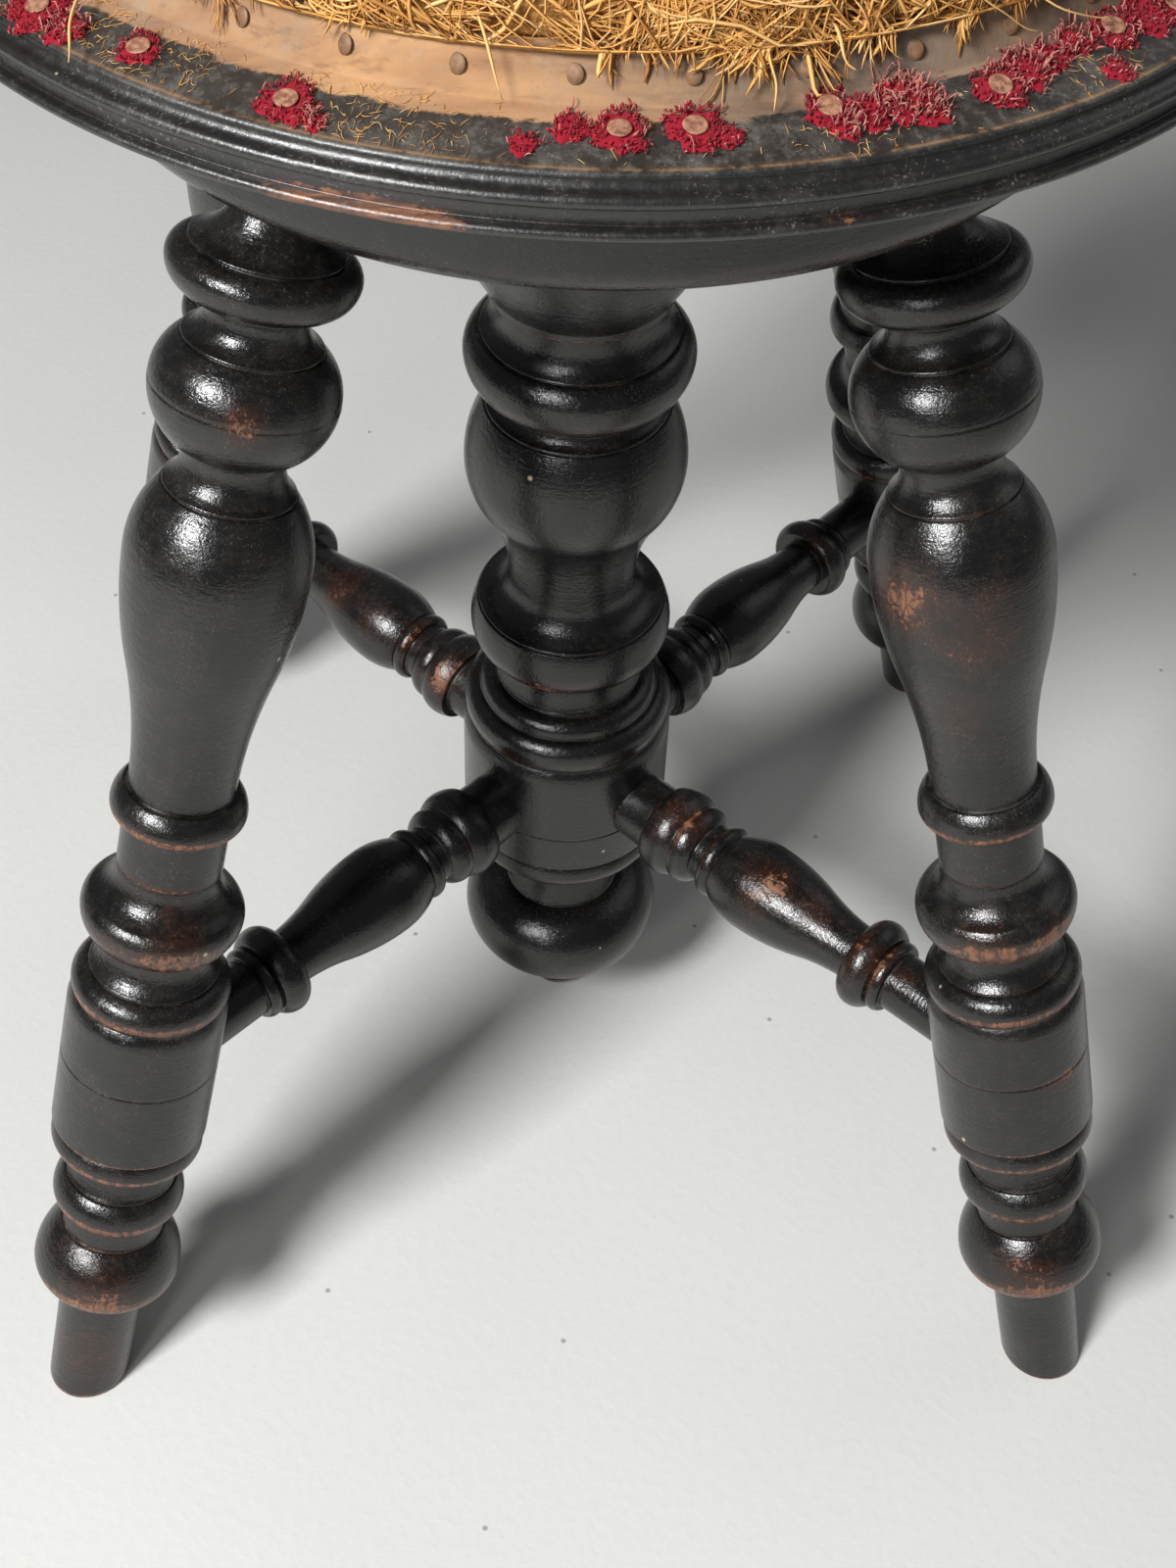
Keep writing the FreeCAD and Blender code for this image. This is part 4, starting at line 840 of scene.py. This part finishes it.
for name, layer in layers.items():
    clumps, members, steps = layer["clumps"], layer["members"], layer["steps"]
    count = clumps * members
    fringe = name == "frayedEnds"
    grow = np.linspace(0, 1, steps)
    share = rng.uniform(0, 1, clumps)
    away = np.sqrt(layer["low"] ** 2 + (layer["high"] ** 2 - layer["low"] ** 2) * share)
    azimuth = rng.uniform(0, 2 * math.pi, clumps)
    length = rng.uniform(*layer["length"], clumps)
    if fringe:
        # the fringe hangs thickest to the right of the front, and in smaller stretches elsewhere
        azimuth += 0.22 * np.sin(azimuth * 4 + 0.9) + 0.10 * np.sin(azimuth * 9 + 2.0)
        front = rng.uniform(0, 1, clumps) < 0.14
        azimuth = np.where(front, np.radians(rng.normal(279, 6, clumps)), azimuth)
        length = np.where(front, rng.uniform(7, 16, clumps), length)
    aim = azimuth + (0.0 if fringe else math.pi / 2) + rng.normal(0, layer["spread"], clumps)
    heading = aim[:, None] + wander(clumps, steps, length, layer["curl"])
    heading, azimuth, away, length = (np.repeat(held, members, axis=0)
                                      for held in (heading, azimuth, away, length))
    heading = heading + rng.normal(0, 0.10, (count, 1)) + wander(count, steps, length, layer["curl"] * 0.5)
    length = length * rng.uniform(0.65, 1.1, count)
    hop = np.stack([np.cos(heading), np.sin(heading)], -1) * (length / (steps - 1))[:, None, None]
    start = np.stack([np.cos(azimuth), np.sin(azimuth)], -1) * away[:, None]
    offset = rng.normal(0, layer["bundle"], (count, 2))
    flat = start[:, None] + np.cumsum(hop, axis=1) - hop * 0.5
    flat += offset[:, None] * (1 - (0.75 if fringe else 0.2) * grow)[None, :, None]
    reach = np.hypot(flat[..., 0], flat[..., 1])
    flat *= np.minimum(1, (rimTravel + (11.0 if fringe else 1.0)) / reach)[..., None]
    lift = rng.uniform(*layer["lift"], count)
    arch = np.sin(math.pi * grow)[None] * rng.uniform(-0.2, 1.0, count)[:, None] * layer["arch"]
    lifted = lift[:, None] * 0.8 + arch + 0.2
    if fringe:
        lifted = lift[:, None] * 0.7 + grow[None] * rng.uniform(-0.4, 1.8, count)[:, None] + 0.3
    paths, normals = onDrape(flat, lifted)
    flatStraw = rng.uniform(0, 1, count) < 0.10
    wide, narrow = rng.uniform(0.48, 0.90, count), rng.uniform(0.18, 0.42, count)
    width = np.where(flatStraw, wide, narrow) * layer["width"]
    thick = np.where(flatStraw, width * 0.35, width * 0.85)
    # how low each strand lies; the coir finish paints shade on the low ones with it
    deep = 1 - ease(lift, layer["lift"][0], layer["lift"][1] * 0.7)
    tint = np.clip(np.repeat(rng.beta(2.0, 1.8, clumps), members) + rng.normal(0, 0.16, count), 0, 1)
    strandPiece(name, paths, normals, width, thick, tint, deep, coir)

print("loose straws")
# single long straws across the band: azimuth, radius and height of three points
# the last three lie out of the photograph's view and are guesses
looseStraws = [
    [(256.0, 140, 497), (258.5, 147, 486), (261.0, 152, 470.5)],
    [(279.6, 143, 486), (279.9, 149.5, 476), (280.0, 153, 469.5)],
    [(248.5, 140, 500), (253.0, 146, 492), (257.5, 146.5, 484)],
    [(226.0, 150, 472), (228.5, 160, 471), (231.5, 170.5, 467.2)],
    [(231.0, 144, 486), (234.5, 149, 480), (236.5, 149, 475)],
    [(283.5, 144, 488), (285.0, 148.5, 479), (286.0, 151, 474)],
    [(294.0, 144, 492), (297.5, 150, 480), (302.0, 151, 474)],
    [(300.0, 145, 486), (304.0, 151, 476), (309.0, 153, 472)],
    [(240.0, 143, 490), (247.0, 147.5, 483), (251.0, 146.5, 488)],
    [(20.0, 144, 488), (24.0, 150, 477), (26.0, 156, 469.6)],
    [(95.0, 143, 492), (98.0, 149, 480), (97.0, 154, 470.4)],
    [(160.0, 144, 488), (163.0, 149, 478), (168.0, 151, 472)],
]
knots = np.array(looseStraws, float)
angle = np.radians(knots[..., 0])
corners = np.stack([knots[..., 1] * np.cos(angle), knots[..., 1] * np.sin(angle), knots[..., 2]], -1)
strawSteps = 14
blend = np.linspace(0, 1, strawSteps)[None, :, None]
# a curve through the middle point, so its handle lies as far beyond it
first, middle, last = corners[:, :1], corners[:, 1:2], corners[:, 2:]
handle = 2 * middle - (first + last) / 2
paths = (1 - blend) ** 2 * first + 2 * blend * (1 - blend) * handle + blend ** 2 * last
kinks = np.linspace(0, 9, strawSteps)[None, :, None] + rng.uniform(0, 6, (len(paths), 1, 3))
paths += 0.35 * np.sin(kinks)
normals = np.zeros_like(paths)
normals[..., 2] = 1
amount = len(paths)
strandPiece("looseStraws", paths, normals, rng.uniform(0.35, 0.60, amount), rng.uniform(0.15, 0.25, amount),
            rng.uniform(0.72, 1.0, amount), np.zeros(amount), coir)

print("velvet")
# what is left of the cover: azimuth, radius, reach, 1 where a nail holds it or 0, share of pale threads
# those from 330 degrees round the back to 212 are guesses
scraps = [
    (224.3, 160.0, 7.5, 1, 0.15), (227.6, 161.0, 5.0, 0, 0.6), (233.8, 158.0, 4.6, 1, 0.1),
    (246.1, 158.8, 6.2, 1, 0.1), (248.7, 161.8, 2.6, 0, 0.8), (262.6, 159.7, 3.2, 0, 0.15),
    (265.7, 155.0, 4.2, 0, 0.1), (269.0, 155.6, 6.0, 1, 0.15), (274.2, 155.0, 6.2, 1, 0.15),
    (276.4, 157.0, 3.4, 0, 0.3), (284.0, 152.8, 5.4, 1, 0.35), (284.6, 158.0, 3.4, 0, 0.8),
    (286.8, 155.0, 5.2, 0, 0.35), (290.0, 153.5, 7.0, 0, 0.75), (291.0, 157.5, 4.4, 0, 0.7),
    (297.0, 156.0, 6.0, 1, 0.35), (300.0, 153.8, 5.6, 0, 0.6), (302.6, 153.0, 4.6, 0, 0.5),
    (305.4, 151.5, 4.6, 0, 0.6), (306.4, 161.5, 3.6, 0, 0.5), (309.3, 152.5, 6.0, 1, 0.35),
    (313.4, 153.2, 7.4, 0, 0.3), (316.0, 155.0, 7.6, 1, 0.2), (330, 157, 5.5, 1, 0.3),
    (337, 156, 4.0, 0, 0.6), (344, 157, 6.0, 1, 0.2), (358, 156, 5.0, 1, 0.3), (16, 158, 6.2, 1, 0.2),
    (24, 155, 4.0, 0, 0.6), (33, 157, 5.6, 1, 0.3), (52, 157, 6.0, 1, 0.2), (75, 156, 5.4, 1, 0.2),
    (83, 157, 4.4, 0, 0.6), (97, 157, 6.2, 1, 0.3), (118, 156, 5.6, 1, 0.2), (133, 157, 5.6, 1, 0.3),
    (150, 157, 6.2, 1, 0.2), (159, 156, 4.0, 0, 0.7), (171, 157, 5.6, 1, 0.2), (186, 156, 6.0, 1, 0.3),
    (203, 157, 5.6, 1, 0.2), (212, 158, 5.8, 1, 0.3)]
scrapTable = np.array(scraps, float)


def onBand(azimuth, radius, x, y, lift):
    # x outward and y sideways from a place on the black band, in millimetres, lifted off it
    angle = np.radians(azimuth)
    outward = radius + x
    inward = np.clip((seat["bandOuter"] - outward) / seat["bandWidth"], -0.6, 1.15)
    height = seat["base"] + seat["bandHeight"] + seat["bandRise"] * inward + lift
    return np.stack([outward * np.cos(angle) - y * np.sin(angle),
                     outward * np.sin(angle) + y * np.cos(angle), height], -1)


def velvetLook():
    # crimson pile; the attribute deep fades it to the pale backing threads
    look = Finish("velvetPile")
    tint, fade = look.read("tint"), look.read("deep")
    threads = look.noise(look.place(), 1600.0, 2.0)
    pile = look.mix(tint, (0.150, 0.003, 0.011, 1), (0.56, 0.012, 0.042, 1))
    pile = look.mix(fade, pile, (0.60, 0.27, 0.22, 1))
    look.bump(threads, 0.00008)
    return look.set(Base_Color=pile, Roughness=0.85, Sheen_Weight=0.08, Specular_IOR_Level=0.12)


velvetFinish = velvetLook()
pile = {"perSquare": 5.2, "fewest": 45}
perScrap = np.maximum((scrapTable[:, 2] ** 2 * pile["perSquare"]).astype(int), pile["fewest"])
owner = np.repeat(np.arange(len(scrapTable)), perScrap)
total = len(owner)
azimuth, radius, reach, disc, pale = scrapTable[owner].T
swing = rng.uniform(0, 2 * math.pi, total)
ragged = (0.84 + 0.10 * np.sin(swing * 3 + owner * 1.7) + 0.10 * np.sin(swing * 7 + owner * 2.9)
          + 0.07 * np.sin(swing * 17 + owner))
start = np.where(disc > 0, 2.5, 0.2)
share = np.sqrt(rng.uniform(0, 1, total))
away = start + (reach * 1.12 * ragged - start) * share
grow = np.linspace(0, 1, 4)[None]
isPale = (rng.uniform(0, 1, total) < pale ** 2 * 1.2) | ((share > 0.90) & (rng.uniform(0, 1, total) < 0.22))
threadLength = rng.uniform(0.45, 1.15, total) * np.where(isPale, rng.uniform(1.2, 2.4 + pale * 2, total), 1.0)
lean = rng.uniform(0.25, 1.0, total)
aim = swing + rng.normal(0, 1.3, total)
run = (threadLength * lean)[:, None] * grow
curve = aim[:, None] + grow * rng.normal(0, 0.8, (total, 1))
x = (away * np.cos(swing))[:, None] + run * np.cos(curve)
y = (away * np.sin(swing))[:, None] + run * np.sin(curve)
rise = np.sin(grow * math.pi * 0.6) * (threadLength * np.sqrt(1 - lean ** 2 * 0.9))[:, None] + 0.25
rise += (0.9 * (1 - share ** 3) * rng.uniform(0.4, 1.3, total))[:, None]
paths = onBand(azimuth[:, None], radius[:, None], x, y, rise)
normals = rng.normal(0, 1, (total, 1, 3)) + np.zeros((1, 4, 1))
fadeOut = np.where(isPale, rng.uniform(0.35, 1.0, total), rng.uniform(0.0, 0.10, total))
velvet = strandPiece("velvet_pile", paths, normals, rng.uniform(0.14, 0.30, total),
                     rng.uniform(0.11, 0.19, total), rng.uniform(0, 1, total) ** 1.4, fadeOut,
                     velvetFinish)
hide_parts("velvet_scraps")

# the backing under the pile: a thin closed patch for each scrap, lower face first
ringShare = np.linspace(0, 1, 7)
cloth = []
clothFaces = []
patchSides = 36
around = np.linspace(0, 2 * math.pi, patchSides, endpoint=False)
for index, (azimuth, radius, reach, disc, pale) in enumerate(scraps):
    edge = (0.86 + 0.10 * np.sin(around * 3 + index * 1.7) + 0.08 * np.sin(around * 7 + index * 2.9)
            + 0.05 * np.sin(around * 11 + index))
    shell = []
    for level, shares in ((0.05, ringShare), (0.9, ringShare[::-1])):
        for part in shares:
            bulge = level * (1 - 0.8 * part ** 3) + 0.12 * np.sin(around * 4 + part * 5 + index)
            spread = np.maximum(part, 0.02) * reach * edge
            shell.append(onBand(azimuth, radius, spread * np.cos(around), spread * np.sin(around),
                                np.maximum(bulge, 0.02)))
    shell = np.concatenate(shell)
    rows = np.arange(len(shell)).reshape(-1, patchSides)
    beside = np.roll(rows, -1, 1)
    grid = np.stack([rows[:-1], rows[1:], beside[1:], beside[:-1]], 2).reshape(-1, 4)
    base = sum(len(part) for part in cloth)
    cloth.append(shell)
    clothFaces.append(grid + base)
clothPoints = np.concatenate(cloth)
clothFloats = {"tint": np.full(len(clothPoints), 0.35), "deep": np.full(len(clothPoints), 0.02)}
meshPiece("velvet_backing", clothPoints, [np.concatenate(clothFaces)], "seat", velvetFinish,
          clothFloats)

print("nails")
nailMoves = [("step", 2.4), ("line", 2.8, 0.15), ("round", 2.3, 0.4), ("line", 1.2, -0.15),
             ("bow", 0.0, 0.1, 0.05)]
nailLine = eased(turnedLine((0.0, 0.0), nailMoves), edge=0.25, pace=0.35)
nailPoints, nailFaces, floats, turn = lathe(nailLine, 24)
nails = []
for azimuth, radius, reach, disc, pale in scraps:
    if disc:
        leaned = placed(nailPoints * rng.uniform(0.88, 1.0), tilt=rng.normal(13, 4))
        nails.append(leaned @ np.array(Matrix.Rotation(math.radians(azimuth), 3, "Z")).T
                     + onBand(azimuth, radius, 0.0, 0.0, 1.0))
allFaces = repeated(nailFaces, len(nailPoints), len(nails))


def nailLook():
    look = Finish("nailHeads")
    spotted, pitted = look.noise(look.place(), 650.0, 4.0), look.noise(look.place(), 2200.0, 2.0)
    look.bump(look.weigh((spotted, 0.7), (pitted, 0.6)), 0.00025)
    dulled = look.mix(look.spread(spotted, 0.3, 0.7), (0.21, 0.080, 0.048, 1), (0.47, 0.25, 0.155, 1))
    return look.set(Base_Color=dulled, Roughness=0.75)


nailFinish = nailLook()
nailHeads = meshPiece("nail_heads", np.concatenate(nails), allFaces, "seat", nailFinish)
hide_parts("scrap_nails")

print("debris")
# lint, short fibre bits and wood crumbs lying on the band and rim
bits = 1100
dusty = rng.choice([221.0, 227.0, 232.0, 238.0, 251.0, 256.0, 286.0, 305.0, 20.0, 90.0, 160.0], bits)
azimuth = np.where(rng.uniform(0, 1, bits) < 0.7, dusty + rng.normal(0, 2.2, bits), rng.uniform(0, 360, bits))
radius = rng.uniform(150, 164, bits)
steps = 5
grow = np.linspace(-0.5, 0.5, steps)[None]
length = rng.uniform(0.5, 3.2, bits)
aim = rng.uniform(0, math.pi, bits)
bend = rng.normal(0, 1.1, bits)
x = grow * (length * np.cos(aim))[:, None] + (grow ** 2 * length[:, None]) * bend[:, None]
y = grow * (length * np.sin(aim))[:, None]
lift = 0.22 + 0.3 * rng.uniform(0, 1, (bits, 1)) * np.cos(grow * 3)
paths = onBand(azimuth[:, None], radius[:, None], x, y, lift)
normals = np.zeros_like(paths)
normals[..., 2] = 1
strandPiece("lint", paths, normals, rng.uniform(0.03, 0.11, bits), rng.uniform(0.03, 0.08, bits),
            rng.uniform(0.1, 1.0, bits), np.zeros(bits), coir)

print("stage")


def floorLook():
    # pale matt floor with a few dark crumbs
    look = Finish("studioFloor")
    place = look.place()
    cloudy, grainy = look.noise(place, 2.2, 3.0), look.noise(place, 260.0, 3.0)
    tone = look.mix(look.spread(cloudy, 0.3, 0.7), (0.715, 0.712, 0.686, 1), (0.775, 0.772, 0.746, 1))
    tone = look.mix(look.spread(grainy, 0.45, 0.8, 0.0, 0.10), tone, (0.55, 0.55, 0.53, 1))
    cells = look.add("ShaderNodeTexVoronoi")
    cells.voronoi_dimensions = "2D"
    look.join(place, cells.inputs["Vector"])
    cells.inputs["Scale"].default_value = 36.0
    split = look.add("ShaderNodeSeparateColor")
    look.join(cells.outputs["Color"], split.inputs[0])
    small = look.spread(cells.outputs["Distance"], 0.02, 0.042, 1.0, 0.0)
    rare = look.maths("GREATER_THAN", split.outputs[0], 0.91)
    crumbs = look.times(look.times(small, rare), 0.6)
    tone = look.mix(crumbs, tone, (0.16, 0.15, 0.14, 1))
    look.bump(grainy, 0.0003, 0.5)
    return look.set(Base_Color=tone, Roughness=0.62, Specular_IOR_Level=0.3)


floorFinish = floorLook()
half = 4.0
mesh = bpy.data.meshes.new("floor")
mesh.from_pydata([(-half, -half, 0), (half, -half, 0), (half, half, 0), (-half, half, 0)], [], [(0, 1, 2, 3)])
mesh.materials.append(floorFinish)
floor = bpy.data.objects.new("floor", mesh)
bpy.context.collection.objects.link(floor)

camera = {"place": (-28.08, -509.2, 685.91), "heading": 4.10, "down": 48.40, "roll": 2.74,
          "focalPixels": 2208.42, "photoHeight": 1600, "sensor": 36.0}
heading, down, roll = (math.radians(camera[key]) for key in ("heading", "down", "roll"))
forward = Vector((math.sin(heading) * math.cos(down), math.cos(heading) * math.cos(down), -math.sin(down)))
level = Vector((math.cos(heading), -math.sin(heading), 0))
right = level * math.cos(roll) + level.cross(forward) * math.sin(roll)
upward = right.cross(forward)
cameraData = bpy.data.cameras.new("photoCamera")
cameraData.sensor_width = camera["sensor"]
cameraData.lens = camera["focalPixels"] * camera["sensor"] / camera["photoHeight"]
cameraData.clip_start = 0.02
photoCamera = bpy.data.objects.new("photoCamera", cameraData)
photoCamera.matrix_world = Matrix((right, upward, -forward)).transposed().to_4x4()
photoCamera.location = Vector(camera["place"]) * mm
bpy.context.collection.objects.link(photoCamera)
bpy.context.scene.camera = photoCamera

lamps = {
    "keyAbove": {"place": (-1.3, -1.33, 1.90), "target": (0.0, 0.0, 0.2), "size": 0.60, "power": 79.0},
    "lowFront": {"place": (-0.62, -1.35, 1.02), "target": (0.0, 0.0, 0.25), "size": 0.22, "power": 2.8},
    "sideFill": {"place": (1.5, 0.6, 1.5), "target": (0.0, 0.0, 0.2), "size": 1.2, "power": 2.0},
}
for name, lamp in lamps.items():
    light = bpy.data.lights.new(name, "AREA")
    light.size = lamp["size"]
    light.energy = lamp["power"]
    holder = bpy.data.objects.new(name, light)
    holder.location = lamp["place"]
    aim = Vector(lamp["target"]) - Vector(lamp["place"])
    holder.rotation_euler = aim.to_track_quat("-Z", "Y").to_euler()
    bpy.context.collection.objects.link(holder)
world = bpy.data.worlds.new("studio")
world.use_nodes = True
world.node_tree.nodes["Background"].inputs[0].default_value = (0.80, 0.82, 0.85, 1)
world.node_tree.nodes["Background"].inputs[1].default_value = 0.14
bpy.context.scene.world = world
bpy.context.scene.view_settings.view_transform = "Standard"
